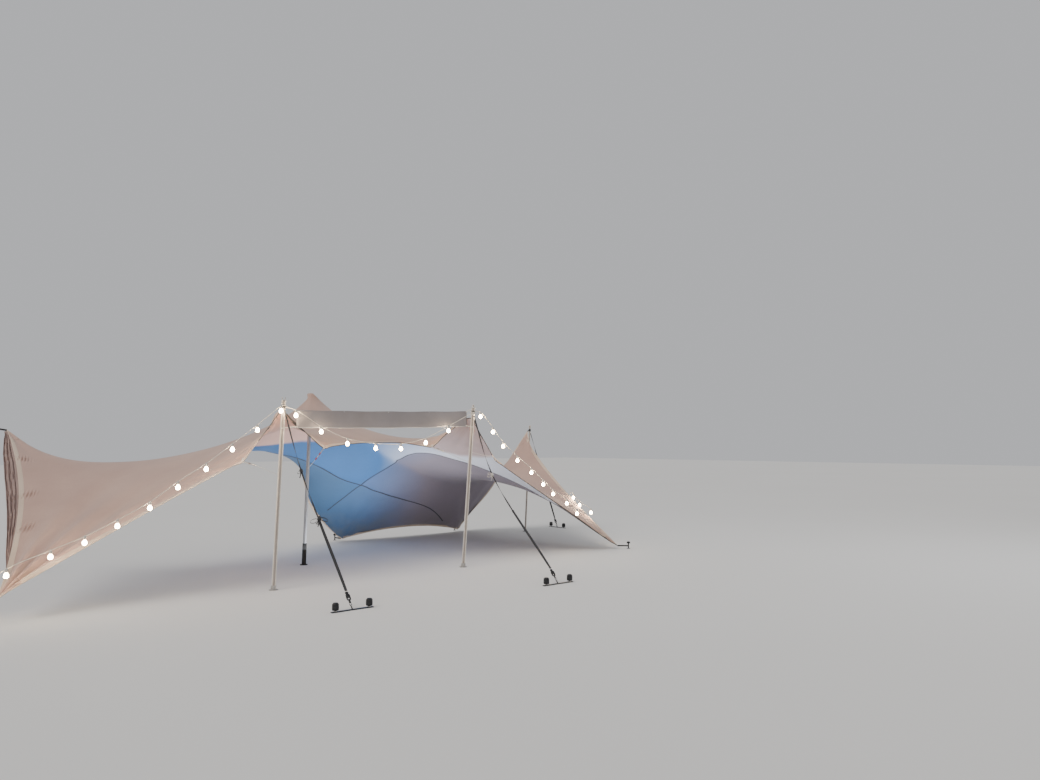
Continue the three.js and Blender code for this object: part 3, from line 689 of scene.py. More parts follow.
# Canopy: the form comes from every node settling at the weighted mean of its neighbours
def held_nodes():
    held = {(0, 0): CORNER_LEFT, (GRID_X, 0): CORNER_RIGHT}
    for column, point in KINKS.items():
        held[column, 0] = point
    for column, peak in ((COLUMN_POLE_LEFT, PEAK_FRONT_LEFT), (COLUMN_POLE_RIGHT, PEAK_FRONT_RIGHT)):
        held[column, 0] = peak
        held[column, 1] = peak + PEAK_FALL
    held[COLUMN_POLE_RIGHT - 1, 0] = PEAK_FRONT_RIGHT + SHOULDER_FALL
    held[COLUMN_POLE_RIGHT - 1, 1] = PEAK_FRONT_RIGHT + SHOULDER_FALL + PEAK_FALL
    left = [PEAK_SIDE_LEFT, *REAR_EDGE_LEFT, REAR_LEFT_PEG]
    for k, point in enumerate(curve_points(left, COLUMN_PEG_LEFT, REAR_SQUEEZE)):
        held[k, GRID_Y] = point
    right = [REAR_RIGHT_PEG, *REAR_EDGE_RIGHT, PEAK_SIDE_RIGHT]
    for k, point in enumerate(curve_points(right, GRID_X - COLUMN_PEG_RIGHT)):
        held[COLUMN_PEG_RIGHT + k, GRID_Y] = point
    for di in (-1, 0, 1):
        for dj in (-1, 0, 1):
            dome = np.array([0.05 * di, 0.05 * dj, -0.014 * (di * di + dj * dj)])
            held[KING_COLUMN + di, KING_ROW + dj] = KING_TOP + dome
    return held


def bell(x, width):
    return np.exp(-((x / width) ** 2))


def pulls():
    """How hard neighbours pull on each other, along the front and into the tent."""
    j, i = np.meshgrid(np.arange(GRID_Y + 1), np.arange(GRID_X + 1), indexing="ij")
    start = np.array([KING_COLUMN + 1, KING_ROW + 1], float)
    run = np.array([GRID_X, GRID_Y]) - start
    t = np.clip(((i - start[0]) * run[0] + (j - start[1]) * run[1]) / (run @ run), 0, 1)
    off_ridge = np.hypot(i - start[0] - t * run[0], j - start[1] - t * run[1])
    along = 1 + 12 * bell(off_ridge, 3.5) + np.where(i >= 54, 5 * bell(j, 4), 0)
    inward = 1 + 12 * bell(off_ridge, 3.5)
    inward += 4 * bell(j, 9) * (bell(i - COLUMN_POLE_LEFT, 1.8) + bell(i - COLUMN_POLE_RIGHT, 1.8))
    inward += 3 * bell(i - 44, 3)
    along[0] = np.where(i[0] < 24, 50, np.where(i[0] < 56, 20, 32))
    along[GRID_Y] = 60
    inward[:, 0] = 110
    inward[:, GRID_X] = 190
    return along[:, :-1, None], inward[:-1, :, None]


def canopy_nodes():
    along, inward = pulls()
    held = held_nodes()
    j, i = np.meshgrid(np.arange(GRID_Y + 1), np.arange(GRID_X + 1), indexing="ij")
    nodes = CORNER_LEFT + (CORNER_RIGHT - CORNER_LEFT) * (i / GRID_X)[..., None]
    nodes[..., 1] += 5.0 * j / GRID_Y
    nodes[..., 2] = 2.0
    free = np.ones(i.shape, bool)
    for (column, row), point in held.items():
        nodes[row, column] = point
        free[row, column] = False
    weight = np.zeros((*i.shape, 1))
    weight[:, 1:] += along
    weight[:, :-1] += along
    weight[1:] += inward
    weight[:-1] += inward
    colours = [free & ((i + j) % 2 == parity) for parity in (0, 1)]
    for _ in range(3000):
        for chosen in colours:
            total = np.zeros_like(nodes)
            total[:, 1:] += along * nodes[:, :-1]
            total[:, :-1] += along * nodes[:, 1:]
            total[1:] += inward * nodes[:-1]
            total[:-1] += inward * nodes[1:]
            step = 1.93 * (total / weight - nodes)
            nodes[chosen] += step[chosen]
        if np.abs(step[free]).max() < 1e-7:
            break
    return nodes


def node_weights(t):
    """Shares of the four nodes around a position between the middle two."""
    s, c = t**2, t**3
    return np.stack([-t + 2 * s - c, 2 - 5 * s + 3 * c, t + 4 * s - 3 * c, -s + c], axis=-1) / 2


def padded(nodes):
    """The nodes with one more row or column beyond each side, in line with the last two."""
    before, after = 2 * nodes[:, :1] - nodes[:, 1:2], 2 * nodes[:, -1:] - nodes[:, -2:-1]
    wide = np.concatenate([before, nodes, after], axis=1)
    return np.concatenate([2 * wide[:1] - wide[1:2], wide, 2 * wide[-1:] - wide[-2:-1]], axis=0)


NODES = canopy_nodes()
PADDED = padded(NODES)


def smooth_cloth(u, v):
    """The canopy without its folds, at any column and row position."""
    i = np.clip(np.floor(u).astype(int), 0, GRID_X - 1)
    j = np.clip(np.floor(v).astype(int), 0, GRID_Y - 1)
    across = node_weights(u - i)
    deep = node_weights(v - j)
    total = 0.0
    for b in range(4):
        for a in range(4):
            total = total + (across[..., a] * deep[..., b])[..., None] * PADDED[j + b, i + a]
    return total


def grid_normal(shape_at, u, v, step=0.05):
    """Outward direction of a surface given by column and row position."""
    du = shape_at(np.minimum(u + step, GRID_X), v) - shape_at(np.maximum(u - step, 0), v)
    dv = shape_at(u, np.minimum(v + step, GRID_Y)) - shape_at(u, np.maximum(v - step, 0))
    n = np.cross(du, dv)
    return n / np.maximum(np.linalg.norm(n, axis=-1, keepdims=True), 1e-12)


def radial_folds(points, centre, normal, count, height, reach, phase):
    """Folds that run out from a held point and die away."""
    side = unit(np.cross(normal, [0.0, 0.0, 1.0] if abs(normal[2]) < 0.9 else [1.0, 0.0, 0.0]))
    other = np.cross(normal, side)
    d = points - centre
    r = np.linalg.norm(d, axis=-1)
    turn = np.arctan2(d @ other, d @ side)
    swell = (r / reach) * np.exp(1 - r / reach)
    waves = np.cos(count * turn + phase) + 0.5 * np.cos((count + 3) * turn - 2 * phase)
    return height * swell * waves * np.clip(r / 0.12, 0, 1)


def nearest_on(points, path):
    """Distance to a path and how far along it the nearest point lies, from 0 to 1."""
    best = np.full(points.shape[:-1], 1e9)
    share = np.zeros(points.shape[:-1])
    for k in range(len(path) - 1):
        run = path[k + 1] - path[k]
        t = np.clip(((points - path[k]) @ run) / (run @ run), 0, 1)
        off = np.linalg.norm(points - path[k] - t[..., None] * run, axis=-1)
        nearer = off < best
        best = np.where(nearer, off, best)
        share = np.where(nearer, (k + t) / (len(path) - 1), share)
    return best, share


def path_fold(points, path, width, height):
    """A long soft fold along a path, dying away at its ends."""
    off, share = nearest_on(points, path)
    return height * bell(off, width) * np.sin(math.pi * np.clip(share, 0.001, 0.999)) ** 0.6


def grid_path(places, count=24):
    """Points on the smooth canopy along a curve through grid positions."""
    curve = curve_points([(a, b, 0.0) for a, b in places], count)
    return smooth_cloth(curve[:, 0], curve[:, 1])


# Grid positions of the two sewn lines that cross on the rear slope: one runs from the rear edge up and round
# to the right wing's front edge, the other along the rear edge. Their dark strips are painted shade along
# the lines where the underside folds out of view
RISING_SEAM = [
    (43.2, 38.4), (44.5, 35.7), (46.4, 33.1), (48.7, 30.8), (50.7, 26.8), (52.4, 23.0), (53.1, 20.5),
    (52.6, 17.0), (52.5, 15.0), (53.2, 13.1), (55.1, 11.7), (57.7, 9.5), (61.0, 7.4), (65.0, 5.0),
    (67.5, 3.8), (69.6, 0.6),
]
LEVEL_SEAM = [
    (30.6, 39.0), (34.2, 35.5), (38.6, 34.1), (42.6, 33.7), (45.9, 33.7), (48.2, 34.6), (52.4, 36.2),
    (58.0, 38.2), (61.0, 39.6),
]
# Fold of the left wing that runs from the front left peak along the front edge
WING_CREASE = [(27.6, 1.0), (25.9, 2.2), (24.0, 3.1), (21.5, 4.2), (18.0, 4.6), (13.0, 4.2)]
PUCKER_ROWS = (31.2, 20.5, 12.3)
PUCKER_COLUMN = 1.15
PUCKER_SPACING = 0.42

# Folds round held points: column, row, how many, height, reach and phase
HELD_FOLDS = [
    (COLUMN_POLE_LEFT, 0, 19, 0.010, 0.34, 0.4),
    (COLUMN_POLE_RIGHT, 0, 18, 0.010, 0.34, 1.7),
    (0, GRID_Y, 15, 0.009, 0.50, 0.9),
    (GRID_X, GRID_Y, 15, 0.010, 0.50, 2.2),
    (0, 0, 19, 0.030, 0.70, 0.2),
    (GRID_X, 0, 22, 0.020, 0.62, 1.1),
    (COLUMN_PEG_LEFT, GRID_Y, 17, 0.014, 0.45, 0.5),
    (COLUMN_PEG_RIGHT, GRID_Y, 17, 0.014, 0.45, 2.6),
    (KING_COLUMN, KING_ROW, 12, 0.005, 0.42, 0.3),
    (24, 0, 13, 0.008, 0.24, 0.8),
    (32, 0, 13, 0.008, 0.24, 1.9),
    (48, 0, 13, 0.008, 0.24, 2.7),
    (56, 0, 13, 0.008, 0.24, 0.1),
]
# Long folds: grid positions, width and height
LONG_FOLDS = [
    ([(1.0, 0.6), (14.0, 2.2), (25.0, 1.4)], 0.12, -0.012),
    ([(0.6, 1.2), (12.0, 7.0), (26.0, 14.0), (35.0, 18.0)], 0.22, 0.016),
    ([(0.4, 2.4), (6.0, 12.0), (12.0, 22.0)], 0.20, -0.014),
    ([(1.0, 38.6), (12.0, 33.0), (26.0, 25.0), (35.5, 20.0)], 0.24, 0.016),
    ([(79.0, 1.0), (68.0, 3.0), (57.5, 1.2)], 0.12, -0.010),
    ([(79.6, 2.0), (77.5, 16.0), (79.2, 36.0)], 0.18, 0.010),
    ([(46.0, 39.0), (43.0, 31.0), (38.5, 21.5)], 0.22, 0.018),
    ([(64.0, 39.0), (70.0, 35.0), (78.5, 38.5)], 0.18, 0.014),
    ([(63.5, 38.5), (56.0, 29.0), (40.0, 20.5)], 0.20, 0.014),
    ([(28.5, 1.5), (31.0, 8.0), (36.0, 17.5)], 0.14, 0.014),
    ([(51.5, 1.5), (47.0, 9.0), (38.5, 18.0)], 0.14, 0.014),
    (WING_CREASE, 0.050, -0.022),
]


def spot_on_grid(column, row):
    return np.array([float(column)]), np.array([float(row)])


def fold_heights(points, u, v):
    total = np.zeros(points.shape[:-1])
    for column, row, count, height, reach, phase in HELD_FOLDS:
        place = spot_on_grid(column, row)
        centre = smooth_cloth(*place)[0]
        normal = grid_normal(smooth_cloth, *place, step=0.6)[0]
        total += radial_folds(points, centre, normal, count, height, reach, phase)
    for places, width, height in LONG_FOLDS:
        total += path_fold(points, grid_path(places), width, height)
    for seam in (RISING_SEAM, LEVEL_SEAM):
        total += path_fold(points, grid_path(seam, 60), 0.05, -0.014)
    for row in PUCKER_ROWS:
        across = (u - PUCKER_COLUMN - 0.2 * (v - row)) / PUCKER_SPACING
        waves = np.cos(2 * math.pi * across) * np.exp(-((across / 1.9) ** 2))
        total += 0.016 * waves * bell(v - row, 0.8)
    from_king = np.linalg.norm(points - KING_TOP, axis=-1)
    return total * np.clip((from_king - 0.06) / 0.2, 0, 1)


def cloth(u, v):
    """The canopy with its folds."""
    points = smooth_cloth(u, v)
    return points + grid_normal(smooth_cloth, u, v, 0.2) * fold_heights(points, u, v)[..., None]


def positions(count, step, zones=()):
    """Sample positions from 0 to count, closer together inside the zones given as (from, to, step)."""
    values = list(np.linspace(0, count, round(count / step) + 1))
    for low, high, fine in zones:
        values.extend(np.arange(low, high, fine))
    values = np.unique(np.round(values, 4))
    kept = [values[0]]
    for value in values[1:]:
        if value - kept[-1] > 0.045:
            kept.append(value)
    kept[-1] = count
    return np.array(kept)


US = positions(GRID_X, 0.45, ((0.15, 2.6, 1 / 12), (26.0, 30.0, 1 / 6), (50.0, 54.0, 1 / 6)))
VS = positions(GRID_Y, 0.40, ((0.0, 3.0, 1 / 6), *((row - 1.6, row + 1.6, 1 / 6) for row in PUCKER_ROWS)))
GRID_U, GRID_V = np.meshgrid(US, VS)
CLOTH = cloth(GRID_U, GRID_V)


def mesh_normals(points):
    n = np.cross(np.gradient(points, axis=1), np.gradient(points, axis=0))
    return n / np.linalg.norm(n, axis=2, keepdims=True)


CLOTH_NORMALS = mesh_normals(CLOTH)


def closed_sheet(top, bottom):
    """Faces of a thin body between two grids of points, and which of the two each face belongs to."""
    rows, columns = top.shape[:2]
    total = rows * columns
    faces = []
    for j in range(rows - 1):
        for i in range(columns - 1):
            a = j * columns + i
            faces.append((a, a + 1, a + columns + 1, a + columns))
    kinds = [0] * len(faces)
    under = [(a + total, d + total, c + total, b + total) for a, b, c, d in faces]
    faces += under
    kinds += [1] * len(under)
    rim = list(range(columns - 1))
    rim += [j * columns + columns - 1 for j in range(rows - 1)]
    rim += [(rows - 1) * columns + i for i in range(columns - 1, 0, -1)]
    rim += [j * columns for j in range(rows - 1, 0, -1)]
    for k, a in enumerate(rim):
        b = rim[(k + 1) % len(rim)]
        faces.append((b, a, a + total, b + total))
        kinds.append(0)
    return np.vstack([top.reshape(-1, 3), bottom.reshape(-1, 3)]), faces, kinds


def inside_outline(outline, soft):
    """1 inside an outline given in grid positions, 0 outside, with a change of this width between them."""
    inside = np.zeros(GRID_U.shape, bool)
    for k in range(len(outline)):
        (x0, y0), (x1, y1) = outline[k], outline[(k + 1) % len(outline)]
        crosses = (y0 > GRID_V) != (y1 > GRID_V)
        at_x = x0 + (GRID_V - y0) / (y1 - y0 if y1 != y0 else 1e-9) * (x1 - x0)
        inside ^= crosses & (GRID_U < at_x)
    closed = np.vstack([outline, outline[:1]])
    off, _ = nearest_on(np.stack([GRID_U, GRID_V], axis=-1), closed)
    return np.clip(0.5 + np.where(inside, off, -off) / soft, 0, 1)[..., None]


def seam_curve(seam):
    return curve_points([(a, b, 0.0) for a, b in seam], 60)[:, :2]


# Painted light on the underside: painted blue light in the middle, the lining's own pale colour with a
# painted bluish light towards the right wing, painted warm lamp light near the front poles, painted shade on
# the rear slope
PAINTED_BLUE_LIGHT = np.array([0.050, 0.165, 0.400])
PAINTED_BLUE_SHADE = np.array([0.056, 0.135, 0.265])
PALE = np.array([0.780, 0.810, 0.920])
PAINTED_REAR_SHADE = np.array([0.262, 0.226, 0.272])
PAINTED_LAMP_LIGHT = np.array([0.780, 0.490, 0.410])
PAINTED_DIM_LAMP_LIGHT = np.array([0.520, 0.400, 0.400])
LAMP_LIGHT_LEFT_OUTLINE = [
    (22.0, -1.0), (33.0, -1.0), (33.5, 8.0), (38.4, 18.0), (38.2, 29.6), (35.0, 30.3), (31.0, 31.8),
    (22.0, 33.0),
]
LAMP_LIGHT_RIGHT_OUTLINE = [(47.5, -1.0), (55.4, -1.0), (55.3, 5.6), (54.9, 9.0), (53.4, 10.7), (50.6, 11.4), (47.5, 7.0)]


def underside_painted_light():
    """Painted light and painted shade on the underside at every point of the sheet."""
    rising = seam_curve(RISING_SEAM)
    level = seam_curve(LEVEL_SEAM)
    far_right = [(GRID_X + 1, -1), (GRID_X + 1, GRID_Y + 1)]
    # Painted shade: the rear slope beyond the rising seam is painted grey, and the part beyond the level
    # seam is painted a dim shaded blue
    rear_shade_share = inside_outline(np.vstack([rising, far_right, [(43.0, GRID_Y + 1)]]), 0.5)
    blue_shade_share = inside_outline(np.vstack([level, [(61.0, GRID_Y + 1), (30.0, GRID_Y + 1)]]), 0.5)
    rightward = GRID_U + 0.25 * np.clip(20.0 - GRID_V, 0, 20)
    blue = (np.clip((56.5 - rightward) / 9.0, 0, 1) * np.clip((GRID_U - 20.0) / 8.0, 0, 1))[..., None]
    front = PALE + (PAINTED_BLUE_LIGHT - PALE) * blue
    rear = PAINTED_REAR_SHADE + (PAINTED_BLUE_LIGHT - PAINTED_REAR_SHADE) * 0.75 * blue
    shade = front + (rear - front) * rear_shade_share
    shade = shade + (PAINTED_BLUE_SHADE - shade) * blue_shade_share * np.clip(1.35 - (GRID_U - 38.0) / 12.0, 0, 1)[..., None]
    # Painted warm lamp light round the front poles' peaks
    shade = shade + (PAINTED_LAMP_LIGHT - shade) * inside_outline(LAMP_LIGHT_LEFT_OUTLINE, 0.6)
    return shade + (PAINTED_DIM_LAMP_LIGHT - shade) * inside_outline(LAMP_LIGHT_RIGHT_OUTLINE, 0.9)


def cloth_piece(name, vertices, faces, materials, kinds=None):
    piece = new_object(name, vertices, faces, materials, kinds)
    fix_normals(piece)
    return placed(piece)


def add_canopy():
    half = CLOTH_NORMALS * CLOTH_THICK / 2
    vertices, faces, kinds = closed_sheet(CLOTH + half, CLOTH - half)
    piece = new_object("canopy_sheet", vertices, faces, [MAT["outer"], MAT["inner"]], kinds)
    # The underside's painted light and painted shade are stored per point for its material
    shades = np.concatenate([underside_painted_light(), np.ones((*GRID_U.shape, 1))], axis=-1).reshape(-1, 4)
    tint = piece.data.attributes.new("underside_painted_light", "FLOAT_COLOR", "POINT")
    tint.data.foreach_set("color", np.tile(shades, (2, 1)).astype(np.float32).ravel())
    return placed(piece)


# Strips that follow the canopy: the hem's profile goes by share of its width and height over the cloth
HEM_PROFILE = [
    (1.00, 0.0010), (0.97, 0.0022), (0.66, 0.0024), (0.62, 0.0032), (0.18, 0.0034), (0.10, 0.0052),
    (0.0, 0.0072), (-0.10, 0.0052), (-0.14, 0.0), (-0.10, -0.0052), (0.0, -0.0072), (0.10, -0.0052),
    (0.16, -0.0030), (0.60, -0.0024), (0.97, -0.0022), (1.00, -0.0010),
]
# Sides of the profile that carry the dark band of painted shade along the hem, under the edge and over it,
# with the column it starts from
SHADED_UNDER_SIDES = range(6, 15)
SHADED_UNDER_FROM = 25.5
SHADED_OVER_SIDES = range(3, 6)
SHADED_OVER_FROM = 53.0


def hem_strip(name, u, v, into_u, into_v):
    """The doubled edge of the canopy with its edge cord, along one side of the grid."""
    edge = cloth(u, v)
    step = 0.3
    inner = cloth(u + step * into_u, v + step * into_v)
    reach = np.linalg.norm(inner - edge, axis=-1) / step
    inward = (inner - edge) / np.linalg.norm(inner - edge, axis=-1, keepdims=True)
    square = grid_normal(smooth_cloth, u, v, 0.2)
    rows = []
    for share, height in HEM_PROFILE:
        depth = max(share, 0.0) * HEM_WIDTH
        points = cloth(u + depth / reach * into_u, v + depth / reach * into_v)
        points = points + min(share, 0.0) * HEM_WIDTH * inward
        rows.append(points + height * square)
    grid = np.stack(rows, axis=1)
    count, size = grid.shape[:2]
    kinds = []
    for k in range(count - 1):
        for c in range(size):
            # Faces that get the hem's dark band of painted shade
            under = c in SHADED_UNDER_SIDES and u[k] > SHADED_UNDER_FROM
            over = c in SHADED_OVER_SIDES and u[k] > SHADED_OVER_FROM
            kinds.append(int(name == "hem_front" and (under or over)))
    faces = tube_faces(count, size)
    return cloth_piece(name, grid.reshape(-1, 3), faces, [MAT["hem"], MAT["tape"]], kinds + [0, 0])


def add_hems():
    zeros_u = np.zeros_like(US)
    zeros_v = np.zeros_like(VS)
    return [
        hem_strip("hem_front", US, zeros_u, 0, 1),
        hem_strip("hem_rear", US, zeros_u + GRID_Y, 0, -1),
        hem_strip("hem_left", zeros_v, VS, 1, 0),
        hem_strip("hem_right", zeros_v + GRID_X, VS, -1, 0),
    ]


def add_seam(name, places, material, width=0.026, thick=0.0022):
    """A sewn line: a narrow doubled strip on the underside of the canopy, dark as painted shade along a fold
    line.
    """
    curve = curve_points([(a, b, 0.0) for a, b in places], 220)
    u, v = curve[:, 0], curve[:, 1]
    points = cloth(u, v)
    square = -grid_normal(cloth, u, v, 0.12)
    along = np.gradient(points, axis=0)
    across = np.cross(square, along)
    across /= np.linalg.norm(across, axis=-1, keepdims=True)
    shape = Shape()
    shape.sweep(points + square * (CLOTH_THICK / 2 + thick * 0.35), rounded_bar(width, thick), across, 0)
    return shape.make(name, [material])


def add_patch(name, column, row, size_u, size_v, turn_from, turn_to):
    """A reinforcement sewn on the outside round a held point."""
    turns = np.radians(np.linspace(turn_from, turn_to, 25))
    shares = np.linspace(0.02, 1.0, 12)
    t, s = np.meshgrid(turns, shares)
    u = np.clip(column + size_u * s * np.cos(t), 0, GRID_X)
    v = np.clip(row + size_v * s * np.sin(t), 0, GRID_Y)
    points = cloth(u, v)
    square = grid_normal(cloth, u, v, 0.12)
    lift = np.where(s > 0.97, 0.0004, 0.0026)[..., None]
    top = points + square * (CLOTH_THICK / 2 + lift)
    vertices, faces, _ = closed_sheet(top, points + square * (CLOTH_THICK / 2 - 0.0004))
    return cloth_piece(name, vertices, faces, [MAT["outer"]])


# Patches at held points: column, row, size in columns and rows, and the turn they cover in degrees
PATCHES = {
    "peak_left": (COLUMN_POLE_LEFT, 0, 1.7, 1.9, 0, 180),
    "peak_right": (COLUMN_POLE_RIGHT, 0, 1.7, 1.9, 0, 180),
    "corner_left": (0, 0, 2.0, 2.0, 0, 90),
    "corner_right": (GRID_X, 0, 2.0, 2.0, 90, 180),
    "side_left": (0, GRID_Y, 2.2, 2.4, 270, 360),
    "side_right": (GRID_X, GRID_Y, 2.2, 2.4, 180, 270),
}


# Width of the gathered band down the left edge, by row
BAND_ROWS = (4.6, 8.0, 12.0, 16.0, 20.0, 26.0, 32.0, 36.0, 39.6)
BAND_WIDTHS = (0.015, 0.070, 0.110, 0.140, 0.165, 0.180, 0.165, 0.125, 0.050)


def band_ripple(row, share, width):
    """How far the band stands off its edge's plane, a share of the way across it."""
    drift = 0.55 * math.sin(0.9 * row) + 0.35 * math.sin(2.3 * row + 1.0)
    wave = math.sin(2 * math.pi * (3.2 * share + 0.16 * drift))
    wave += 0.45 * math.sin(2 * math.pi * (7.4 * share - 0.10 * drift))
    return 0.018 * wave * min(1.0, 4 * share) * min(1.0, width / 0.10) - 0.030 * share


def add_band():
    """The gathered length of cloth that hangs along the left side edge, coloured darker than the canopy as
    painted shade.
    """
    v = np.linspace(BAND_ROWS[0], BAND_ROWS[-1], 176)
    zeros = np.zeros_like(v)
    edge = cloth(zeros, v)
    inner = cloth(zeros + 1.0, v)
    square = grid_normal(smooth_cloth, zeros, v, 0.3)
    outward = (edge - inner) / np.linalg.norm(edge - inner, axis=-1, keepdims=True)
    width = np.interp(v, BAND_ROWS, BAND_WIDTHS)
    across = np.linspace(0, 1, 33)
    grid = []
    for k in range(len(v)):
        row = []
        for s in across:
            height = band_ripple(v[k], s, width[k])
            row.append(edge[k] + outward[k] * (0.004 + width[k] * s) + square[k] * height)
        grid.append(row)
    grid = np.array(grid)
    half = mesh_normals(grid) * BAND_THICK / 2
    vertices, faces, _ = closed_sheet(grid + half, grid - half)
    piece = cloth_piece("gathered_band", vertices, faces, [MAT["band"]])


canopy = add_canopy()
sewn = add_hems()
for name, seam in (("rising_seam", RISING_SEAM), ("level_seam", LEVEL_SEAM)):
    sewn.append(add_seam(name, seam, MAT["seam"]))
sewn += [add_patch(f"patch_{name}", *spec) for name, spec in PATCHES.items()]
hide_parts("canopy")
add_band()

# The tail of the right string ends on the canopy's side edge
tail = NODES[16, GRID_X]
tail_way = unit(RIGHT_RUN[-1] - tail)
festoon(
    "festoon_right",
    [pole_seat("front_right", 2.880, RIGHT_RUN[0], CABLE_RADIUS), *RIGHT_RUN, tail + 0.008 * tail_way],
    (0, 10, 11, 12, 16, 17),
)


# Straps, ties and tackle
def frame_of(along, across):
    """Three square axes from a direction and a hint for the second one."""
    a = unit(along)
    c = unit(np.asarray(across, float) - np.dot(across, a) * a)
    return a, c, np.cross(a, c)


def pole_axes(name):
    foot, top, _ = POLES[name]
    return frame_of(top - foot, (1, 0, 0))


def loop_points(centre, x, y, radius_x, radius_y, count=28):
    turns = np.linspace(0, 2 * math.pi, count, endpoint=False)
    return [centre + radius_x * math.cos(t) * x + radius_y * math.sin(t) * y for t in turns]


def guy_line(name):
    """Head, knot, ratchet top and ratchet foot of a guy, as the CAD has them."""
    height, ground, _, hang = GUYS[name]
    head = on_pole(name, height)
    foot = ground + np.array([0, 0, 0.004])
    back = unit(head - foot)
    eye_top = foot + back * (EYE_LENGTH + 0.0004)
    ratchet_top = eye_top + back * RATCHET_LENGTH
    knot = head + 0.36 * (ratchet_top - head) + np.array(hang)
    return head, knot, ratchet_top, eye_top, back


# Outlines of a ratchet's side plate and handle arm, as distance along the strap and height over it
SIDE_PLATE = [
    (0.086, -0.010), (0.080, 0.0), (0.086, 0.010), (0.106, 0.0155), (0.142, 0.0165), (0.166, 0.012),
    (0.174, 0.0), (0.166, -0.012), (0.142, -0.0165), (0.106, -0.0155),
]
HANDLE_ARM = [
    (0.122, -0.002), (0.122, 0.010), (0.190, 0.0125), (0.203, 0.009), (0.203, -0.001), (0.190, -0.0045),
]
# Cross bars of a ratchet: place along, half length, height, radius, material and sides
CROSS_BARS = [
    (0.128, 0.0275, 0.0, 0.0075, 0, 16),
    (0.128, 0.0175, 0.0, 0.0135, 1, 20),
    (0.197, 0.026, 0.004, 0.0070, 2, 16),
    (0.094, 0.0265, 0.0, 0.0050, 0, 12),
]
SPOOL_AT = 0.128
HOOK_RADIUS = 0.022


def add_ratchet(name):
    """A ratchet on its strap: side plates, toothed spool with the wound webbing, handle and hook."""
    _, _, _, base, back = guy_line(name)
    a, c, n = frame_of(back, np.cross([0, 0, 1], -back))
    shape = Shape()

    def spot(along, across=0.0, up=0.0):
        return base + a * along + c * across + n * up

    turns = np.radians(np.linspace(-120, 120, 17))
    hook = [spot(0.018 - HOOK_RADIUS * math.cos(t), 0.016 * math.sin(t)) for t in turns]
    shape.tube(hook, 0.0045, 0, 10)
    lower = [spot(0.036), spot(0.060, 0, 0.001), spot(0.098, 0, 0.0)]
    shape.sweep(lower, rounded_bar(STRAP_WIDTH, 0.006), c, 1)
    for side in (-1, 1):
        plate(shape, [spot(s, side * 0.0245, h) for s, h in SIDE_PLATE], c * 0.0028 * side, 0)
        wheel = []
        for k in range(32):
            turn = 2 * math.pi * k / 32
            radius = 0.0165 if k % 4 < 2 else 0.0132
            wheel.append(spot(SPOOL_AT + radius * math.cos(turn), side * 0.0215, radius * math.sin(turn)))
        plate(shape, wheel, c * 0.0020 * side, 0)
        plate(shape, [spot(s, side * 0.0185, h) for s, h in HANDLE_ARM], c * 0.0024 * side, 0)
    for along, half, height, radius, material, sides in CROSS_BARS:
        shape.tube([spot(along, -half, height), spot(along, half, height)], radius, material, sides)
    upper = [spot(0.132, 0, 0.013), spot(0.160, 0, 0.010), spot(0.212, 0, 0.001)]
    shape.sweep(upper, rounded_bar(STRAP_WIDTH, 0.0035), c, 1)
    piece = shape.make(f"ratchet_detail_{name}", [MAT["steel"], MAT["webbing"], MAT["rubber"]])
    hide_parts(f"ratchet_{name}")


def plate(shape, outline, thickness, material):
    """A flat plate between an outline and the same outline moved by its thickness."""
    count = len(outline)
    rows = [p - thickness / 2 for p in outline] + [p + thickness / 2 for p in outline]
    faces = [list(reversed(range(count))), list(range(count, 2 * count))]
    for k in range(count):
        n = (k + 1) % count
        faces.append([k, n, n + count, k + count])
    shape.grow(rows, faces, material)


def add_guy(name):
    """A guy: webbing looped round the pole, a slowly twisted strap, and a doubled one to the ratchet."""
    _, knot, low, _, back = guy_line(name)
    top = pole_seat(name, GUYS[name][0], knot, GUY_STRAP / 2)
    end = low + back * 0.012
    sags = np.any(GUYS[name][3])
    route = curve_points([top, knot if sags else (top + end) / 2, end], 60)
    share = np.linspace(0, 1, len(route))
    side = unit(np.cross([0, 0, 1], -back))
    up = np.cross(side, back)
    shape = Shape()
    single = route[share <= GUY_DOUBLE_FROM + 0.02]
    turn = 2 * math.pi * GUY_TWISTS * share[: len(single), None] ** 1.5
    shape.sweep(single, rounded_bar(GUY_STRAP, 0.0034), np.cos(turn) * side + np.sin(turn) * up, 0)
    double = route[share >= GUY_DOUBLE_FROM]
    spread = np.sin(np.linspace(0, math.pi, len(double)))[:, None] * 1.4 + 1.0
    for lift in (-0.0028, 0.0028):
        shape.sweep(double + up * lift * spread, rounded_bar(GUY_DOUBLE, 0.0040), side, 0)
    collar = (double[0] + single[-1]) / 2
    around = rounded_bar(GUY_DOUBLE + 0.006, 0.014)
    shape.sweep([collar - back * 0.020, collar + back * 0.020], around, side, 0)
    a, c, n = pole_axes(name)
    radius = POLES[name][2] + 0.0032
    for k in (-1, 0, 1):
        loop = loop_points(on_pole(name, GUYS[name][0] + 0.021 * k), c, n, radius, radius, 32)
        shape.sweep(loop, rounded_bar(0.019, 0.0030), np.tile(a, (len(loop), 1)), 0, closed=True)
    piece = shape.make(f"guy_strap_{name}", [MAT["webbing"]])
    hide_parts(f"guy_{name}")


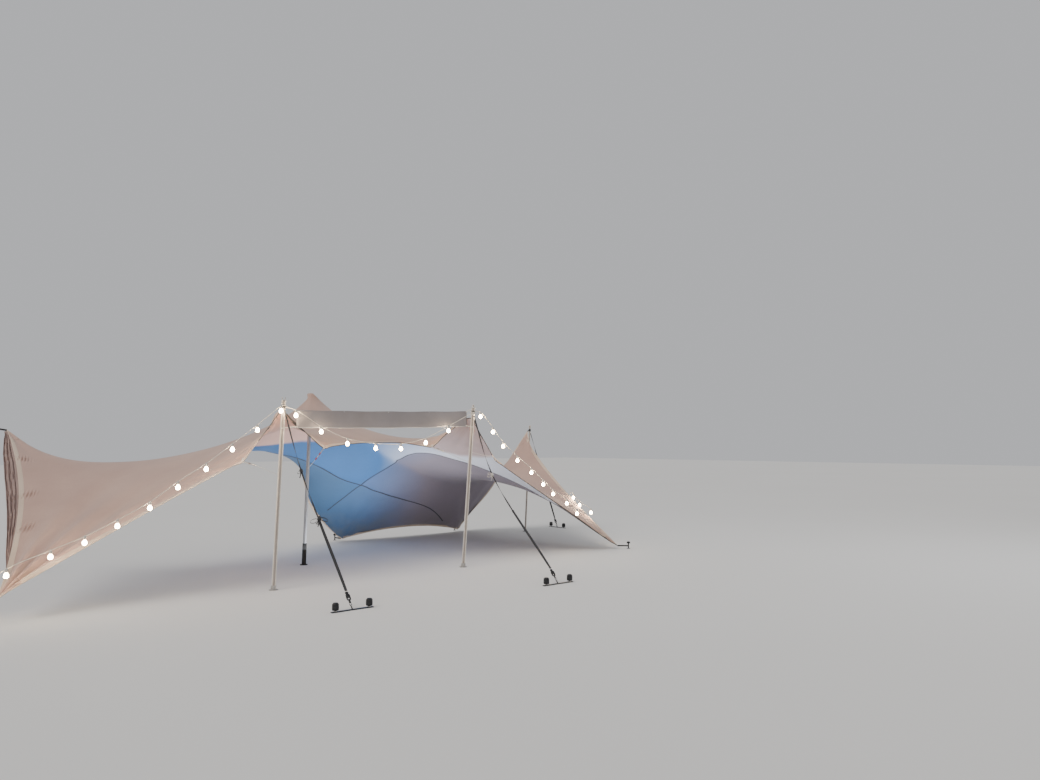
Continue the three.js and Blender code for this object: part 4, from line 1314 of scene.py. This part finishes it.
def add_bow(name, centre, along, across, sizes, material):
    """Loops of surplus strap tied round a guy, with two short tails."""
    a, c, n = frame_of(along, across)
    tape = rounded_bar(0.016, 0.0022)
    shape = Shape()
    shape.tube([centre - a * 0.022, centre + a * 0.022], 0.024, 0, 16)
    for k, (long, wide, lean) in enumerate(sizes):
        way = unit(c * math.cos(lean) - a * math.sin(lean) + n * 0.25 * (1 if k % 2 else -1))
        flat = unit(np.cross(way, n))
        points = loop_points(centre + way * (0.018 + long / 2), way, flat, long / 2, wide / 2)
        shape.sweep(points, tape, np.tile(np.cross(way, flat), (len(points), 1)), 0, closed=True)
    for drop, lean in ((0.11, 0.2), (0.08, -0.35)):
        way = unit(np.array([0, 0, -1.0]) + c * lean)
        points = [centre + way * drop * t + n * 0.012 * math.sin(3 * t) for t in np.linspace(0.1, 1, 8)]
        shape.sweep(points, tape, c, 0)
    shape.make(name, [MAT[material]])


def add_shackle(name):
    """The ring that joins a ratchet's hook to the eye of its anchor."""
    _, ground, line, _ = GUYS[name]
    _, _, _, eye_top, back = guy_line(name)
    a, _, n = frame_of(back, np.cross([0, 0, 1], -back))
    shape = Shape()
    shape.tube(loop_points(eye_top - a * 0.008, a, n, 0.020, 0.014, 24), 0.0045, 0, 10, closed=True)
    along = np.asarray(line, float)
    for side in (-1, 1):
        foot = ground + along * side * ANCHOR_SPREAD / 2
        washer = [(0.024, 0.0125), (0.024, 0.020), (0.020, 0.021), (0.0145, 0.022)]
        shape.turned(washer, foot, (0, 0, 1), 0, 24)
        for low in (0.046, 0.062, 0.078):
            rib = [(0.0455, low), (0.0485, low + 0.002), (0.0485, low + 0.006), (0.0455, low + 0.008)]
            shape.turned(rib, foot, (0, 0, 1), 1, 28)
    shape.make(f"anchor_fittings_{name}", [MAT["zinc"], MAT["rubber"]])


# Ties at the kinks: column, where the strap ends, where the cord ends, and whether the buckle is red
KINK_TIES = {
    "kink_outer_left": (24, at(-2.170, -0.050, 1.940), on_pole("front_left", 1.780), False),
    "kink_inner_left": (32, at(-1.100, 0.100, 2.020), on_pole("king", 1.800), True),
    "kink_inner_right": (48, at(1.270, -0.100, 2.140), on_pole("front_right", 1.930), False),
    "kink_outer_right": (56, at(2.420, -0.100, 2.020), on_pole("front_right", 2.120), False),
}


def add_kink_tie(name, column, via, end, red):
    """A loop on the front edge, a short strap with its buckle, and a thin cord to a pole."""
    u, v = spot_on_grid(column, 0)
    edge = cloth(u, v)[0]
    inward = unit(cloth(u, v + 0.4)[0] - edge)
    square = grid_normal(smooth_cloth, u, v, 0.3)[0]
    pull = unit(via - edge)
    across = unit(np.cross(pull, square))
    shape = Shape()
    tab = [(0.085, 0.0045), (0.02, 0.008), (-0.012, 0.0), (0.02, -0.008), (0.085, -0.0045)]
    over = [edge + inward * back + square * lift for back, lift in tab]
    shape.sweep(curve_points(over, 24), rounded_bar(0.032, 0.0026), np.cross(square, inward), 0)
    shape.tube(loop_points(edge + pull * 0.020, pull, across, 0.019, 0.022, 28), 0.0034, 2, 10, closed=True)
    start = edge + pull * 0.036
    middle = start + pull * 0.5 * np.linalg.norm(via - start)
    shape.sweep(curve_points([start, middle, via], 12), rounded_bar(0.022, 0.0028), across, 0)
    for share in (0.42, 0.96):
        kind = 1 if share > 0.5 or red else 2
        axes = (across, np.cross(pull, across), pull)
        shape.block(start + (via - start) * share, (0.032, 0.012, 0.040), axes, kind)
    hang = via + (end - via) * 0.5 + np.array([0, 0, -0.004])
    shape.tube(curve_points([via, hang, end - unit(end - via) * 0.020], 16), 0.0028, 3, 8)
    buckle = MAT["red_webbing" if red else "buckle"]
    shape.make(name, [MAT["light_webbing"], buckle, MAT["zinc"], MAT["rope"]])


def add_pole_wrap(name, low, high, turns, tail_to):
    """Cord wound round a pole under its head, with the end led away to what it ties."""
    radius = POLES[name][2] + 0.0040
    _, c, n = pole_axes(name)
    points = []
    for k in range(turns * 16 + 1):
        turn = 2 * math.pi * k / 16
        centre = on_pole(name, low + (high - low) * k / (turns * 16))
        points.append(centre + radius * (math.cos(turn) * c + math.sin(turn) * n))
    shape = Shape()
    side = [unit(p - on_pole(name, p[2])) for p in points]
    shape.sweep(points, ring(0.0042, 8), np.array(side), 0)
    middle = (points[-1] + tail_to) / 2 + np.array([0, 0, -0.006])
    shape.tube(curve_points([points[-1], middle, tail_to], 12), 0.0038, 0, 8)
    shape.make(f"pole_wrap_{name}", [MAT["rope"]])


def banner_point(s, t):
    """Place on the banner: s from 0 at the left end to 1, t from -1 at the lower edge to 1."""
    middle = BANNER_LEFT + (BANNER_RIGHT - BANNER_LEFT) * s
    sag = 4 * BANNER_SAG * s * (1 - s)
    scallop = 0.006 * math.sin(math.pi * 4 * s) ** 2 * t
    billow = 0.010 * math.sin(7.0 * s + 0.8 * t) + 0.005 * math.sin(19 * s - 1.4 * t)
    corner = 0.010 * math.exp(-((min(s, 1 - s) / 0.03) ** 2)) * math.cos(3.0 * t)
    ends = min(1.0, min(s, 1 - s) / 0.02)
    return middle + np.array([0.0, (billow + corner) * ends, t * BANNER_HEIGHT / 2 - sag - scallop])


def add_banner():
    """The bare banner: thin cloth with a thicker hem and a pale strip along its lower edge."""
    s_values = np.linspace(0, 1, 181)
    t_values = np.linspace(-1, 1, 25)
    grid = np.array([[banner_point(s, t) for s in s_values] for t in t_values])
    edge_s = np.minimum(s_values, 1 - s_values) * 3.3
    edge_t = (1 - np.abs(t_values)) * BANNER_HEIGHT / 2
    near_edge = np.minimum(edge_s[None, :], edge_t[:, None]) < 0.024
    half = np.where(near_edge, 0.0016, 0.0006)[..., None] * mesh_normals(grid)
    vertices, faces, _ = closed_sheet(grid + half, grid - half)
    lower = 2 * len(s_values)
    kinds = [int(all(v % grid[..., 0].size < lower for v in face)) for face in faces]
    piece = new_object("banner_sheet", vertices, faces, [MAT["banner"], MAT["banner_hem"]], kinds)
    fix_normals(piece)
    placed(piece)
    rings = add_eyelets()
    add_banner_ties()
    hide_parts("banner")


def add_eyelets():
    shape = Shape()
    places = [(s, t) for s in (0.005, 0.995) for t in (0.86, -0.86)]
    places += [(0.25 * k, 0.90) for k in (1, 2, 3)]
    profile = [(0.0055, 0.0008), (0.0060, 0.0026), (0.0100, 0.0028), (0.0115, 0.0010)]
    for s, t in places:
        for side in (-1, 1):
            shape.turned(profile, banner_point(s, t), (0, side, 0), 0, 20)
    return shape.make("banner_eyelets", [MAT["zinc"]])


def add_banner_ties():
    """Doubled cords from the banner's corner eyelets round the front poles, each with a knot."""
    shape = Shape()
    knot = [(0.004, -0.011), (0.009, -0.006), (0.0105, 0.0), (0.008, 0.007), (0.004, 0.011)]
    for name, s in (("front_left", 0.005), ("front_right", 0.995)):
        _, c, n = pole_axes(name)
        for t, rise in ((0.86, 0.085), (-0.86, -0.020)):
            hole = banner_point(s, t)
            height = hole[2] + rise
            seat = pole_seat(name, height, hole, 0.004)
            middle = (hole + seat) / 2 + np.array([0, 0, -0.004])
            second = [hole + np.array([0, 0.006, 0.006]), middle + np.array([0, 0, 0.007]), seat]
            shape.tube(curve_points([hole, middle, seat], 10), 0.0040, 0, 8)
            shape.tube(curve_points(second, 10), 0.0036, 0, 8)
            shape.turned(knot, hole + (seat - hole) * 0.16, seat - hole, 0, 14)
            radius = FRONT_POLE_RADIUS + 0.0035
            for k in (-1, 1):
                wrap = loop_points(on_pole(name, height + 0.004 * k), c, n, radius, radius, 28)
                shape.tube(wrap, 0.0036, 0, 8, closed=True)
    shape.make("banner_ties", [MAT["rope"]])


for name in GUYS:
    add_guy(name)
    add_ratchet(name)
    add_shackle(name)
for name, spec in KINK_TIES.items():
    add_kink_tie(name, *spec)

_, knot_right, _, _, back_right = guy_line("front_right")
_, knot_left, low_left, _, back_left = guy_line("front_left")
bow_left = knot_left + (low_left - knot_left) * 0.42
bow_inner = bow_left + np.array([0, 0, 0.02])
LEFT, RIGHT = (-1, 0, 0), (1, 0, 0)
# Loops of each bow: length, width and how far they lean
loops_right = [(0.085, 0.050, 0.2), (0.070, 0.045, 0.9), (0.060, 0.040, -0.5)]
loops_left = [(0.120, 0.060, 0.1), (0.100, 0.050, 0.8)]
add_bow("guy_bow_right", knot_right, back_right, LEFT, loops_right, "light_webbing")
add_bow("guy_knot_left", knot_left, back_left, LEFT, [(0.050, 0.034, 0.5)], "webbing")
add_bow("guy_bow_left", bow_left, back_left, LEFT, loops_left, "webbing")
add_bow("guy_bow_left_inner", bow_inner, back_left, RIGHT, [(0.110, 0.055, 0.7)], "webbing")
cord_end = on_pole("front_right", 2.880) + np.array([-0.115, -0.030, -0.010])
add_pole_wrap("front_right", 2.800, 2.860, 6, cord_end)
add_banner()


# Materials of the CAD nodes that stay
def dress(name, material):
    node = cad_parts[name]
    node.data.materials.clear()
    node.data.materials.append(material)


for name in POLES:
    dress(f"pole_{name}", MAT["king"] if name == "king" else MAT["pole"])
    dress(f"boot_{name}", MAT["rubber" if name == "king" else "zinc"])
for name in ("front_left", "front_right", "side_left", "side_right"):
    dress(f"head_{name}", MAT["pole"])
    dress(f"head_strap_{name}", MAT["webbing"])
    dress(f"anchor_{name}", MAT["steel"])
for name in PEGS:
    dress(f"peg_{name}", MAT["steel"])
    dress(f"peg_strap_{name}", MAT["webbing"])
dress("head_king", MAT["rubber"])
